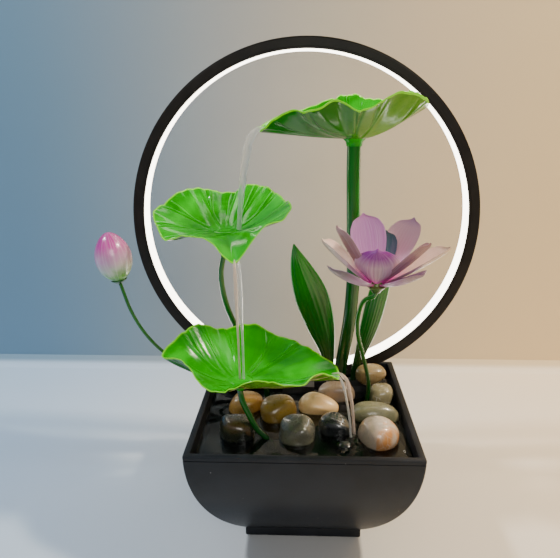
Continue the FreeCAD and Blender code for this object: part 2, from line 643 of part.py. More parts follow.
def make_rotor():
    left = WELL_LEFT + 2
    bore = S.shaft_radius + S.running
    magnet_right = CHAMBER_LEFT - 1
    disc_x = CHAMBER_LEFT + 1
    vane_right = CHAMBER_LEFT + 9.5
    hub = S.sleeve_radius + 1
    parts = [along_pump(left, S.sleeve_radius, vane_right - left),
             along_pump(magnet_right, hub, vane_right - magnet_right),
             along_pump(disc_x, S.vane_radius, Size(1.5, "1.5"))]
    half_vane = Size(0.7, "0.7")
    parts.append(pump_block(disc_x, vane_right, S.vane_radius - 0.3, half_vane))
    parts.append(pump_block(disc_x, vane_right, half_vane, S.vane_radius - 0.3))
    node("impeller", cut(fuse(*parts), along_pump(left - 1, bore, vane_right - left + 2)))
    node("rotor_magnet", cut(along_pump(left, S.magnet_radius, magnet_right - left),
                             along_pump(left - 1, S.sleeve_radius, magnet_right - left + 2)))
    shaft_left = WELL_LEFT + 0.1
    node("impeller_shaft", along_pump(shaft_left, S.shaft_radius, PUMP_RIGHT - 2.6 - shaft_left))
    rear = cut(along_pump(WELL_LEFT + 0.1, S.sleeve_radius + 0.6, Size(1.6, "1.6")),
               along_pump(WELL_LEFT - 1, S.shaft_radius, Size(5.0, "5")))
    front = cut(along_pump(PUMP_RIGHT - 5, S.sleeve_radius, Size(2.4, "2.4")),
                along_pump(PUMP_RIGHT - 6, S.shaft_radius, Size(6.0, "6")))
    node("shaft_bushes", fuse(rear, front))


def make_pump_front(half_y, half_z):
    plate_right = PUMP_RIGHT + 1.8
    plate = pump_block(PUMP_RIGHT, plate_right, half_y, half_z)
    plug = along_pump(PUMP_RIGHT - 2.5, S.chamber_radius - S.snug, Size(2.5, "2.5"))
    inlet = along_pump(PUMP_RIGHT - 6, S.inlet_radius, Size(12.0, "12"))
    arm = pump_block(PUMP_RIGHT - 2.5, plate_right, S.inlet_radius + 0.5, Size(1.1, "1.1"))
    seat = along_pump(PUMP_RIGHT - 5, S.sleeve_radius + 1.2, Size(5.0, "5"))
    stub = along_pump(PUMP_RIGHT - 1, S.screw_radius, S.dial_thick + 3.6)
    pocket = along_pump(PUMP_RIGHT - 6, S.sleeve_radius, Size(3.5, "3.5"))
    node("pump_cover", cut(fuse(cut(fuse(plate, plug), inlet), arm, seat, stub), pocket))
    dial_x = plate_right + 0.15
    dial = fuse(along_pump(dial_x, S.dial_radius, S.dial_thick),
                block((dial_x, S.pump_y - 1.2, PUMP_Z + S.dial_radius - 1),
                      (dial_x + S.dial_thick, S.pump_y + 1.2, PUMP_Z + half_z + S.dial_tab)))
    gate = block((dial_x - 1, S.pump_y + 2.4, PUMP_Z + 0.8),
                 (dial_x + S.dial_thick + 1, S.pump_y + 7, PUMP_Z + 5.5))
    far_gate = block((dial_x - 1, S.pump_y - 7, PUMP_Z - 5.5),
                     (dial_x + S.dial_thick + 1, S.pump_y - 2.4, PUMP_Z - 0.8))
    node("flow_dial", cut(dial, along_pump(dial_x - 1, S.screw_radius + S.running,
                                           S.dial_thick + 2), gate, far_gate))
    make_grille(half_y, half_z, plate_right, dial_x + S.dial_thick)


def make_grille(half_y, half_z, left, dial_right):
    right = left + 9.5
    skin = Size(1.5, "1.5")
    cap = cut(pump_block(left, right, half_y, half_z),
              pump_block(left - 1, right - skin, half_y - skin, half_z - skin))
    lever = block((left - 1, S.pump_y - 14, PUMP_Z + half_z - 4),
                  (left + 3.6, S.pump_y + 14, PUMP_Z + half_z + 1))
    slots = []
    for row in range(7):
        z = PUMP_Z + (row - 3) * 4.4
        slots.append(block((right - skin - 1, S.pump_y - half_y + 4, z - 0.9),
                           (right + 1, S.pump_y + half_y - 4, z + 0.9)))
    node("intake_grille", cut(cap, lever, *slots))
    node("intake_foam", pump_block(dial_right + 1.2, right - skin, half_y - skin - 0.3,
                                   half_z - skin - 0.3))


# ------------------------------------------------------------------ tray and plant base
BASE_TOP = S.tray_top + S.base_high


def make_tray():
    low = S.tray_top - S.tray_thick
    reach, drop = SIDE_RADIUS - S.bowl_wall, S.rim_z - low
    inside = f"({SIDE_CENTRE.text}+sqrt({(reach * reach).text}-{(drop * drop).text}))"
    half = Size(side_half(reach, number(low)), inside) - S.tray_gap
    plate = block((-half, -half, low), (half, S.tray_back, S.tray_top))
    feet = ((-S.tray_leg_at, -S.tray_leg_at), (S.tray_leg_at, -S.tray_leg_at),
            (-S.tray_leg_at, S.tray_leg_at), (S.tray_leg_at, S.tray_leg_mid))
    legs = [rod((x, y, FLOOR_TOP), S.tray_leg, low - FLOOR_TOP + 1) for x, y in feet]
    notch = block((S.driver_left - S.notch_gap, S.driver_front - S.notch_gap, low - 1),
                  (S.driver_right + S.notch_gap, S.tray_back + 1, S.tray_top + 1))
    hose_hole = rod((riser_foot()[0], riser_foot()[1], low - 1), S.hose_radius + 3.4, S.tray_thick + 2)
    slots = []
    for column in range(5):
        for row in range(4):
            x = half * (-0.72 + 0.30 * column)
            y = half * (-0.78 + 0.36 * row)
            slots.append(block((x, y, low - 1),
                               (x + S.slot_long, y + S.slot_wide, S.tray_top + 1)))
    sockets = [rod((line[0][0], line[0][1], low - 1), radius + S.snug, S.tray_thick + 2)
               for line, radius in STEM_FEET]
    node("pebble_tray", cut(fuse(plate, *legs), notch, hose_hole, *slots, *sockets))


STEM_FEET = (
    (BOTTOM_STEM, S.stem_bottom_leaf),
    (MIDDLE_STEM, S.stem_middle_leaf),
    (FLOWER_STEM, S.stem_flower),
    (BUD_STEM, S.stem_bud),
)


def riser_foot():
    """Where the riser stands, behind the pump's outlet."""
    return (S.outlet_x + HOSE_BENDS[-1][0], S.outlet_y + HOSE_BENDS[-1][1])


def make_plant_base():
    body = block((S.base_left, S.base_front, S.tray_top), (S.base_right, S.tray_back, BASE_TOP))
    foot_x, foot_y = riser_foot()
    riser_hole = rod((foot_x, foot_y, S.tray_top - 1), S.riser_radius + S.snug, S.base_high + 2)
    slots = []
    for blade in (LEFT_BLADE, RIGHT_BLADE):
        (x, y, _), half = blade[0]
        slots.append(block((x - half - S.snug, y - S.blade_thick / 2 - S.snug, BASE_TOP - 4),
                           (x + half + S.snug, y + S.blade_thick / 2 + S.snug, BASE_TOP + 1)))
    node("plant_base", cut(body, riser_hole, *slots))


# ------------------------------------------------------------------ pipes and stems
def smooth_path(points):
    """Straight runs joined by tangent arcs, each as large as its two runs allow."""
    spots = [Vector(*[number(value) for value in point]) for point in points]
    edges, start = [], spots[0]
    for before, corner, after in zip(spots, spots[1:], spots[2:]):
        inward = (corner - before).normalize()
        onward = (after - corner).normalize()
        turn = inward.getAngle(onward)
        reach = 0.45 * min((corner - before).Length, (after - corner).Length)
        if turn < 0.01:
            continue
        radius = reach / math.tan(turn / 2)
        first, last = corner - inward * reach, corner + onward * reach
        bisector = (onward - inward).normalize()
        middle = corner + bisector * (radius / math.cos(turn / 2) - radius)
        edges.append(Part.LineSegment(start, first).toShape())
        edges.append(Part.Arc(first, middle, last).toShape())
        start = last
    edges.append(Part.LineSegment(start, spots[-1]).toShape())
    return Part.Wire(edges)


def swept(path, radius):
    """A round bar along a path."""
    first = path.Edges[0]
    ring = Part.Wire(Part.makeCircle(number(radius), first.valueAt(first.FirstParameter),
                                     first.tangentAt(first.FirstParameter)))
    bar = path.makePipeShell([ring], True, False)
    expected = math.pi * number(radius) ** 2 * path.Length
    if abs(bar.Volume - expected) > 0.02 * expected:
        raise ValueError(f"swept bar volume {bar.Volume:.0f}, expected {expected:.0f}")
    return bar


def tube(path, outer, inner):
    return swept(path, outer).cut(swept(path, inner))


def make_riser():
    foot_x, foot_y = (number(value) for value in riser_foot())
    centre = LEAF_CENTRES["top_leaf"]
    path = smooth_path([(foot_x, foot_y, S.riser_low), *RISER_LINE,
                        (centre[0], centre[1], 300.0), (centre[0], centre[1], S.riser_top)])
    node("riser_pipe", feature(tube(path, S.riser_radius, S.riser_bore)))
    top = PUMP_Z + S.pump_high / 2
    at_x, at_y, at_z = number(S.outlet_x), number(S.outlet_y), number(top) + 1.5
    low = [(at_x + x, at_y + y, at_z + z) for x, y, z in ((0, 0, 0), *HOSE_BENDS)]
    path = smooth_path([*low, (foot_x, foot_y, number(S.riser_low))])
    node("feed_hose", feature(tube(path, S.hose_radius, S.nipple_radius + S.running)))


def through_tray(line):
    """A stem's points, straight through the tray and a little above it."""
    x, y, _ = line[0]
    return [(x, y, S.tray_top - S.tray_thick), (x, y, S.tray_top + 2.0), *line[1:]]


def make_stem(label, line, radius, leaf):
    """A stem from the underside of the tray; a leaf's stem ends in a turned peg."""
    points = through_tray(line)
    x, y, z = LEAF_CENTRES[leaf]
    seat = z - number(S.collar_low)
    bar = swept(smooth_path([*points, (x, y, seat - 5.0), (x, y, seat - 0.3)]), radius)
    peg = Part.makeCylinder(number(S.peg_radius), number(S.peg_long) + 1.0, Vector(x, y, seat - 1.0))
    return node(label, feature(bar.fuse(peg)))


# ------------------------------------------------------------------ leaves
def rim_curve(centre, rim):
    """A smooth closed curve through the rim's points."""
    spots = [Vector(centre[0] + radius * math.cos(math.radians(angle)),
                    centre[1] + radius * math.sin(math.radians(angle)), centre[2] + rise)
             for angle, radius, rise in rim]
    curve = Part.BSplineCurve()
    curve.interpolate(Points=spots, PeriodicFlag=True)
    return curve


def leaf_solid(centre, rim, around=60):
    """A thin dish: from the hole at its centre to a waving rim, rising faster near the rim."""
    curve = rim_curve(centre, rim)
    first, last = curve.FirstParameter, curve.LastParameter
    edge = [curve.value(first + (last - first) * step / around) for step in range(around)]
    middle = Vector(*centre)
    hole, half = number(S.leaf_hole), number(S.leaf_thick) / 2
    outward = [0.0, 0.18, 0.38, 0.58, 0.78, 0.92, 1.0]
    section = [(share, half) for share in outward] + [(share, -half) for share in reversed(outward)]
    grid = []
    for spot in edge:
        flat = Vector(spot.x - middle.x, spot.y - middle.y, 0)
        inner = flat.normalize() * hole
        reach = Vector(spot.x - middle.x, spot.y - middle.y, 0) - inner
        rise = spot.z - middle.z
        grid.append([middle + inner + reach * share + Vector(0, 0, rise * share ** 1.7 + lift)
                     for share, lift in section])
    surface = Part.BSplineSurface()
    count = len(section)
    surface.buildFromPolesMultsKnots(grid, [1] * (around + 1), [1] * (count + 1),
                                     list(range(around + 1)), list(range(count + 1)),
                                     True, True, 3, 2)
    solid = Part.Solid(Part.Shell([surface.toShape()]))
    if solid.Volume < 0:
        solid.reverse()
    return solid


def make_leaf(label, rim):
    centre = LEAF_CENTRES[label]
    leaf = node(label, feature(leaf_solid(centre, rim)))
    x, y, z = centre
    low = Size(z, str(z)) - S.collar_low
    high = S.collar_low + S.collar_high
    collar = rod((x, y, low), S.collar_radius, high)
    if label == "top_leaf":
        bore = rod((x, y, low - 1), S.riser_radius + S.running, high + 2)
    else:
        bore = rod((x, y, low - 1), S.peg_radius + S.running, S.peg_long + 1.3)
    node(f"{label}_collar", cut(collar, bore, leaf))


# ------------------------------------------------------------------ flower, bud and blades
def lens(rows, normals, thick):
    """A thin closed form: two patches with one shared edge, apart by a thickness inside."""
    def patch(grid):
        surface = Part.BSplineSurface()
        long, wide = len(grid), len(grid[0])
        surface.buildFromPolesMultsKnots(
            grid, [4] + [1] * (long - 4) + [4], [3] + [1] * (wide - 3) + [3],
            list(range(long - 2)), list(range(wide - 1)), False, False, 3, 2)
        return surface.toShape()

    under = []
    for here, row in enumerate(rows):
        ends = here in (0, len(rows) - 1)
        under.append([spot if ends or side in (0, len(row) - 1) else spot - normals[here] * thick
                      for side, spot in enumerate(row)])
    shell = Part.Shell([patch(rows), patch(under)])
    shell.sewShape()
    solid = Part.Solid(shell)
    if solid.Volume < 0:
        solid.reverse()
    return solid


PETAL_WIDTHS = (0.18, 0.62, 0.98, 1.0, 0.74, 0.28, 0.03)
PETAL_SIDES = (-1.0, -0.72, -0.3, 0.3, 0.72, 1.0)


def petal(length, half, azimuth, lift, cup, curl, base):
    """A cupped petal from a point beside the flower's axis: it widens and closes to a tip."""
    rows, normals = [], []
    steps = len(PETAL_WIDTHS) - 1
    for here, share in enumerate(PETAL_WIDTHS):
        along = here / steps
        width = half * share
        rows.append([Vector(length * along, side * width,
                            cup * width * side ** 2 + curl * length * along ** 2)
                     for side in PETAL_SIDES])
        normals.append(Vector(-2 * curl * along, 0, 1).normalize())
    shape = lens(rows, normals, number(S.petal_thick) * 1.6)
    about = Rotation(Vector(0, 0, 1), azimuth)
    start = about.multVec(Vector(number(S.petal_start), 0, 0))
    shape.Placement = Placement(base + start, about.multiply(Rotation(Vector(0, 1, 0), -lift)))
    return shape


def petal_layer(label, petals, length, half, low, thick):
    """Petals round a small disc that sits on the flower's core; low is the disc's underside."""
    x, y, _ = FLOWER_CENTRE
    disc = Part.makeCylinder(number(S.layer_radius), thick, Vector(x, y, low))
    bore = Part.makeCylinder(number(S.stub_radius + S.snug), 3 * thick, Vector(x, y, low - thick))
    shapes = [disc.cut(bore)]
    for azimuth, lift, long, wide, cup, curl in petals:
        base = Vector(x, y, low + number(S.layer_thick) * 0.67)
        shapes.append(petal(number(length) * long, number(half) * wide, azimuth, lift, cup, curl,
                            base))
    node(label, feature(Part.makeCompound(shapes)))


def make_flower():
    x, y, z = FLOWER_CENTRE
    seat = Size(z, str(z)) - 8
    step, thick = number(S.layer_step), number(S.layer_thick)
    petal_layer("outer_petals", OUTER_PETALS, S.petal_long, S.petal_half, z - 1, step)
    petal_layer("inner_petals", INNER_PETALS, S.inner_long, S.inner_half, z - 1 + step, thick)
    cup = cone((x, y, seat), S.stem_flower + 1.2, S.cup_radius, Size(6.0, "6"))
    boss = rod((x, y, seat + 5.5), S.petal_start - 0.4, Size(1.5, "1.5"))
    stub = rod((x, y, seat + 6.5), S.stub_radius, S.layer_step + S.layer_thick + 1)
    head = cone((x, y, seat + 7 + S.layer_step + S.layer_thick), S.seed_radius * 0.8,
                S.seed_radius, Size(5.0, "5"))
    socket = rod((x, y, seat - 1), S.stem_flower + S.snug, Size(4.0, "4"))
    node("flower_core", cut(fuse(cup, boss, stub, head), socket))
    points = [*through_tray(FLOWER_STEM), (x, y, seat - 3.5), (x, y, seat + 2.8)]
    node("flower_stem", feature(swept(smooth_path(points), S.stem_flower)))


def make_bud():
    lean = Rotation(Vector(0, 1, 0), -10)
    foot = Vector(*BUD_FOOT)
    centre = foot + lean.multVec(Vector(0, 0, number(S.bud_long) - 1.0))
    bud = doc.addObject("Part::Ellipsoid", "Bud")
    bud.Placement = Placement(centre, lean)
    bind(bud, Radius1=S.bud_long, Radius2=S.bud_radius, Radius3=S.bud_radius)
    node("lotus_bud", bud)
    cap = Part.makeCone(number(S.stem_bud) + 0.3, 7.5, 4.4)
    cap.Placement = Placement(foot - lean.multVec(Vector(0, 0, 2.2)), lean)
    tip = foot - lean.multVec(Vector(0, 0, 1.2))
    bar = swept(smooth_path([*through_tray(BUD_STEM), tuple(tip)]), S.stem_bud)
    room = doc.addObject("Part::Ellipsoid", "Room")
    room.Placement = bud.Placement
    bind(room, Radius1=S.bud_long + S.snug, Radius2=S.bud_radius + S.snug,
         Radius3=S.bud_radius + S.snug)
    node("bud_stem", cut(feature(bar.fuse(cap)), room))


def make_blade(label, line):
    """A long blade, folded a little along its middle, with its foot in the plant base."""
    rows, normals = [], []
    for (x, y, z), half in line:
        rows.append([Vector(x + side * half, y + 0.25 * half * side ** 2, z + 0.18 * half * side)
                     for side in (-1.0, -0.6, 0.0, 0.6, 1.0)])
        normals.append(Vector(0, -1, 0))
    blade = lens(rows, normals, number(S.blade_thick))
    (x, y, z), half = line[0]
    thick = number(S.blade_thick)
    tang = Part.makeBox(2 * half, thick, 6.0, Vector(x - half, y - thick / 2, number(BASE_TOP) - 4))
    node(label, feature(blade.fuse(tang)))


def make_pebbles():
    for name, x, y, _, _, _, yaw in PEBBLES:
        high = SIZE_BY_NAME[f"{name}_high"]
        stone = doc.addObject("Part::Ellipsoid", "Pebble")
        stone.Placement = Placement(Vector(x, y, 0), Rotation(Vector(0, 0, 1), yaw))
        bind(stone, Radius1=high, Radius2=SIZE_BY_NAME[f"{name}_along"],
             Radius3=SIZE_BY_NAME[f"{name}_across"])
        seat = BASE_TOP if name in RAISED else S.tray_top
        bind(stone, Placement__Base__z=seat + high + S.snug)
        node(name, stone)


# ------------------------------------------------------------------ the whole fountain
def check():
    doc.recompute()
    for thing in doc.Objects:
        if "Invalid" in thing.State or "Error" in thing.State:
            raise ValueError(f"{thing.Name} ({thing.Label}) is {thing.State}")
    for label, thing in NODES.items():
        shape = thing.Shape
        if shape.isNull() or not shape.isValid() or shape.Volume <= 0:
            raise ValueError(f"{label} has no sound shape")


def write():
    os.makedirs("parts", exist_ok=True)
    for label, thing in NODES.items():
        thing.Shape.exportStep(f"parts/{label}.step")
        print(f"{label}: {thing.Shape.Volume / 1000:.2f} cm3, {len(thing.Shape.Solids)} solid(s)")


make_bowl()
make_foot()
make_grommet()
make_ring()
make_saddle()
make_driver()
make_pump()
make_tray()
make_plant_base()
make_riser()
make_stem("bottom_leaf_stem", BOTTOM_STEM, S.stem_bottom_leaf, "bottom_leaf")
make_stem("middle_leaf_stem", MIDDLE_STEM, S.stem_middle_leaf, "middle_leaf")
make_leaf("top_leaf", TOP_RIM)
make_leaf("middle_leaf", MIDDLE_RIM)
make_leaf("bottom_leaf", BOTTOM_RIM)
make_flower()
make_bud()
make_blade("left_blade", LEFT_BLADE)
make_blade("right_blade", RIGHT_BLADE)
make_pebbles()
check()
write()
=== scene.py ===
"""Looks of the tabletop lotus fountain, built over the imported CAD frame.

Shapes are worked out in millimetres as whole numpy arrays and put into meshes in metres.
+Z is up and the front of the bowl faces -Y.
"""
import logging
import math
from dataclasses import dataclass
from enum import Enum

import bpy
import numpy as np
from bpy.types import Material, Node, NodeSocket, NodeTree, Object
from mathutils import Matrix


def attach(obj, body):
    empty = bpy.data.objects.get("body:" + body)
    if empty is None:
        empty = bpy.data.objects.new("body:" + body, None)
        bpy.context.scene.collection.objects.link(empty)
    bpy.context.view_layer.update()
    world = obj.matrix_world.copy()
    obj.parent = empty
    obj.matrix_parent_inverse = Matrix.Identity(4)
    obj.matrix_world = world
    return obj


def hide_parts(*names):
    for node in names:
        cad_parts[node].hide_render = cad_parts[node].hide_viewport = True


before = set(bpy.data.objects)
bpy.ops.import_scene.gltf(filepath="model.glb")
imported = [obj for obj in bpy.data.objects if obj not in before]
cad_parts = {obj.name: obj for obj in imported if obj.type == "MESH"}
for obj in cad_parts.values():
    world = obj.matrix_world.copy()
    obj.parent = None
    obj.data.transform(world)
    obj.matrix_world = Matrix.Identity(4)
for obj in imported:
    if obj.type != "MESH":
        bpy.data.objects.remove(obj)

LOG = logging.getLogger("fountain")
MM = 0.001
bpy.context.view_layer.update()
Colour = tuple[float, float, float]
Spot = tuple[float, float, float]


class Body(Enum):
    """The CAD bodies that pieces ride on."""

    BOWL = "bowl"
    DECK = "deck"
    TOP_LEAF = "top_leaf"
    MIDDLE_LEAF = "middle_leaf"
    BOTTOM_LEAF = "bottom_leaf"


class Axis(Enum):
    """The axis that a turned piece goes round."""

    Y = "Y"
    Z = "Z"


# ---------------------------------------------------------------- curves and skins
def hermite(known: np.ndarray, values: np.ndarray, at: np.ndarray) -> np.ndarray:
    """Smooth curve through values: cubic runs whose slopes are the neighbours' chords.

    Args:
        known: rising parameters, shape (n,).
        values: what to pass through, shape (n,) or (n, k).
        at: parameters to read, shape (m,).

    Returns:
        The curve at each parameter, shape (m,) or (m, k).
    """
    values = np.asarray(values, float)
    flat = values.reshape(len(known), -1)
    slope = np.gradient(flat, known, axis=0)
    here = np.clip(np.searchsorted(known, at, "right") - 1, 0, len(known) - 2)
    span = known[here + 1] - known[here]
    f = ((at - known[here]) / span)[:, None]
    span = span[:, None]
    out = ((2 * f ** 3 - 3 * f ** 2 + 1) * flat[here]
           + (f ** 3 - 2 * f ** 2 + f) * span * slope[here]
           + (3 * f ** 2 - 2 * f ** 3) * flat[here + 1]
           + (f ** 3 - f ** 2) * span * slope[here + 1])
    return out.reshape((len(at),) + values.shape[1:])


def chord_run(spots: np.ndarray) -> np.ndarray:
    """The length of the chords up to each of several points."""
    return np.concatenate([[0.0], np.cumsum(np.linalg.norm(np.diff(spots, axis=0), axis=1))])


def smooth_line(points: list[Spot], count: int) -> np.ndarray:
    """Evenly read points on a smooth curve through a few, by chord length.

    Args:
        points: what the curve passes through.
        count: how many points to read.

    Returns:
        The points, shape (count, 3).
    """
    spots = np.array(points, float)
    run = chord_run(spots)
    return hermite(run, spots, np.linspace(0.0, run[-1], count))


def unit(vectors: np.ndarray) -> np.ndarray:
    """The same directions with length one."""
    return vectors / np.linalg.norm(vectors, axis=-1, keepdims=True)


def wrap_grid(u: np.ndarray, v: np.ndarray) -> np.ndarray:
    """A grid of wrap coordinates, u across its columns and v down its rows."""
    return np.stack(np.broadcast_arrays(u[None, :], v[:, None]), -1)


def turn_z(degrees: float) -> np.ndarray:
    """The matrix that turns about Z."""
    c, s = math.cos(math.radians(degrees)), math.sin(math.radians(degrees))
    return np.array([[c, -s, 0], [s, c, 0], [0, 0, 1]])


def turn_y(degrees: float) -> np.ndarray:
    """The matrix that tips +X down towards -Z, about Y."""
    c, s = math.cos(math.radians(degrees)), math.sin(math.radians(degrees))
    return np.array([[c, 0, s], [0, 1, 0], [-s, 0, c]])


def skin(name: str, rings: np.ndarray, uv: np.ndarray | None = None,
         torus: bool = False) -> Object:
    """Closed mesh through rings of points; each ring is a closed loop.

    Args:
        name: the object's name.
        rings: points in millimetres, shape (rows, columns, 3).
        uv: coordinates at each corner of the grid, shape (rows + 1, columns + 1, 2).
        torus: the last ring joins the first; otherwise a fan closes each end.

    Returns:
        The object, with faces outwards and smooth shading.
    """
    rows, cols, _ = rings.shape
    if uv is None:
        v, u = np.meshgrid(np.linspace(0, 1, rows + 1), np.linspace(0, 1, cols + 1), indexing="ij")
        uv = np.stack([u, v], -1)
    row, col = np.meshgrid(np.arange(rows if torus else rows - 1), np.arange(cols), indexing="ij")
    row, col = row.ravel(), col.ravel()
    steps = ((0, 0), (0, 1), (1, 1), (1, 0))
    faces = np.stack([(row + a) % rows * cols + (col + b) % cols for a, b in steps], 1).tolist()
    loops = [np.stack([uv[row + a, col + b] for a, b in steps], 1).reshape(-1, 2)]
    points = rings.reshape(-1, 3)
    if not torus:
        points = np.vstack([points, rings[0].mean(0), rings[-1].mean(0)])
        side = np.arange(cols)
        ends = ((0, rows * cols, 1, 0), (rows - 1, rows * cols + 1, 0, 1))
        for at, centre, first, second in ends:
            corner = at * cols
            fan = [np.full(cols, centre), corner + (side + first) % cols,
                   corner + (side + second) % cols]
            faces += np.stack(fan, 1).tolist()
            edge = np.stack([(uv[at, :-1] + uv[at, 1:]) / 2, uv[at, side + first],
                             uv[at, side + second]], 1)
            loops.append(edge.reshape(-1, 2))
    mesh = bpy.data.meshes.new(name)
    mesh.from_pydata((points * MM).tolist(), [], faces)
    layer = mesh.uv_layers.new(name="Wrap")
    layer.data.foreach_set("uv", np.concatenate(loops).astype(np.float32).ravel())
    quads = np.array(faces[: len(row)])
    p = points[quads]
    volume = (np.einsum("ij,ij->i", p[:, 0], np.cross(p[:, 1], p[:, 2])).sum()
              + np.einsum("ij,ij->i", p[:, 0], np.cross(p[:, 2], p[:, 3])).sum())
    if volume < 0:
        mesh.flip_normals()
    mesh.shade_smooth()
    obj = bpy.data.objects.new(name, mesh)
    bpy.context.scene.collection.objects.link(obj)
    return obj


def crease(obj: Object, degrees: float) -> None:
    """Edges sharper than an angle shade as edges."""
    obj.data.set_sharp_from_angle(angle=math.radians(degrees))


def joined(name: str, parts: list[Object]) -> Object:
    """One object holding the meshes of several.

    Args:
        name: the piece's name.
        parts: the objects; the first one stays.

    Returns:
        The one object.
    """
    bpy.ops.object.select_all(action="DESELECT")
    for part in parts:
        part.select_set(True)
    bpy.context.view_layer.objects.active = parts[0]
    bpy.ops.object.join()
    parts[0].name = name
    parts[0].data.name = name
    return parts[0]


def tube_rings(line: np.ndarray, radius: np.ndarray | float, sides: int = 28,
               flat: float = 1.0, ribs: int = 0, rib: float = 0.0) -> np.ndarray:
    """Rings round a line: at each point a circle across the tangent, squashed by flat.

    Args:
        line: middle points, shape (rows, 3).
        radius: one radius, or one for each point.
        sides: points round each ring.
        flat: depth of the ring as a share of its width.
        ribs: ridges round the ring.
        rib: height of a ridge as a share of the radius.

    Returns:
        Rings, shape (rows, sides, 3).
    """
    tangent = unit(np.gradient(line, axis=0))
    side = unit(np.cross(tangent, np.array([0.0, 1.0, 0.0])))
    depth = np.cross(side, tangent)
    turn = np.linspace(0, 2 * math.pi, sides, endpoint=False)
    reach = np.broadcast_to(np.asarray(radius, float), (len(line),))[:, None]
    reach = reach * (1 + rib * np.cos(ribs * turn)[None, :])
    return (line[:, None, :] + (reach * np.cos(turn))[..., None] * side[:, None, :]
            + (reach * flat * np.sin(turn))[..., None] * depth[:, None, :])


def spun(profile: list[tuple[float, float]], centre: Spot, steps: int,
         axis: Axis = Axis.Z) -> np.ndarray:
    """A closed profile of (radius, along) carried a full circle round an axis.

    Each pair becomes radius * cosine and radius * sine across the axis, and along it as given.

    Args:
        profile: (radius, along) pairs of a closed outline.
        centre: the middle of the circle.
        steps: stops round the circle.
        axis: what it turns about.

    Returns:
        Points, shape (steps, pairs, 3).
    """
    pairs = np.array(profile, float)
    turn = np.linspace(0, 2 * math.pi, steps, endpoint=False)[:, None]
    out, along = pairs[None, :, 0], pairs[None, :, 1] + 0 * turn
    if axis is Axis.Z:
        rings = np.stack([out * np.cos(turn), out * np.sin(turn), along], -1)
    else:
        rings = np.stack([out * np.sin(turn), along, out * np.cos(turn)], -1)
    return rings + np.array(centre)


def turned_solid(profile: list[tuple[float, float]], centre: Spot, sides: int = 40,
                 axis: Axis = Axis.Z) -> np.ndarray:
    """Rings of a solid of revolution, from one end of its (radius, along) profile to the other."""
    return np.swapaxes(spun(profile, centre, sides, axis), 0, 1)


def square_rings(half: np.ndarray, height: np.ndarray, corner: np.ndarray,
                 arc: int = 6) -> np.ndarray:
    """Level squares with rounded corners, one for each half width and height.

    Each corner is a quarter circle of its radius, about a point that far in from both sides.

    Args:
        half: half widths.
        height: their heights.
        corner: their corner radii.
        arc: points on each corner.

    Returns:
        Rings, shape (levels, 4 * arc, 3).
    """
    turn = (np.arange(4)[:, None] * 90 + np.linspace(0, 90, arc)[None, :]).ravel() * math.pi / 180
    quarter = np.repeat(np.arange(4), arc)
    sx = np.array([1, -1, -1, 1])[quarter]
    sy = np.array([1, 1, -1, -1])[quarter]
    inset = (half - corner)[:, None]
    x = inset * sx + corner[:, None] * np.cos(turn)
    y = inset * sy + corner[:, None] * np.sin(turn)
    return np.stack([x, y, np.broadcast_to(height[:, None], x.shape)], -1)


def place(obj: Object, material: Material, body: Body, slot: str,
          *stands_for: str) -> Object:
    """Dresses a piece, sets it riding, and hides the CAD nodes it stands for.

    Args:
        obj: the piece.
        material: the material to wear.
        body: the body it rides.
        slot: its material slot; not used.
        stands_for: the CAD nodes it replaces.

    Returns:
        The piece.
    """
    obj.data.materials.clear()
    obj.data.materials.append(material)
    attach(obj, body.value)
    if stands_for:
        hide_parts(*stands_for)
    LOG.info("%s rides %s, %d faces", obj.name, body.value, len(obj.data.polygons))
    return obj


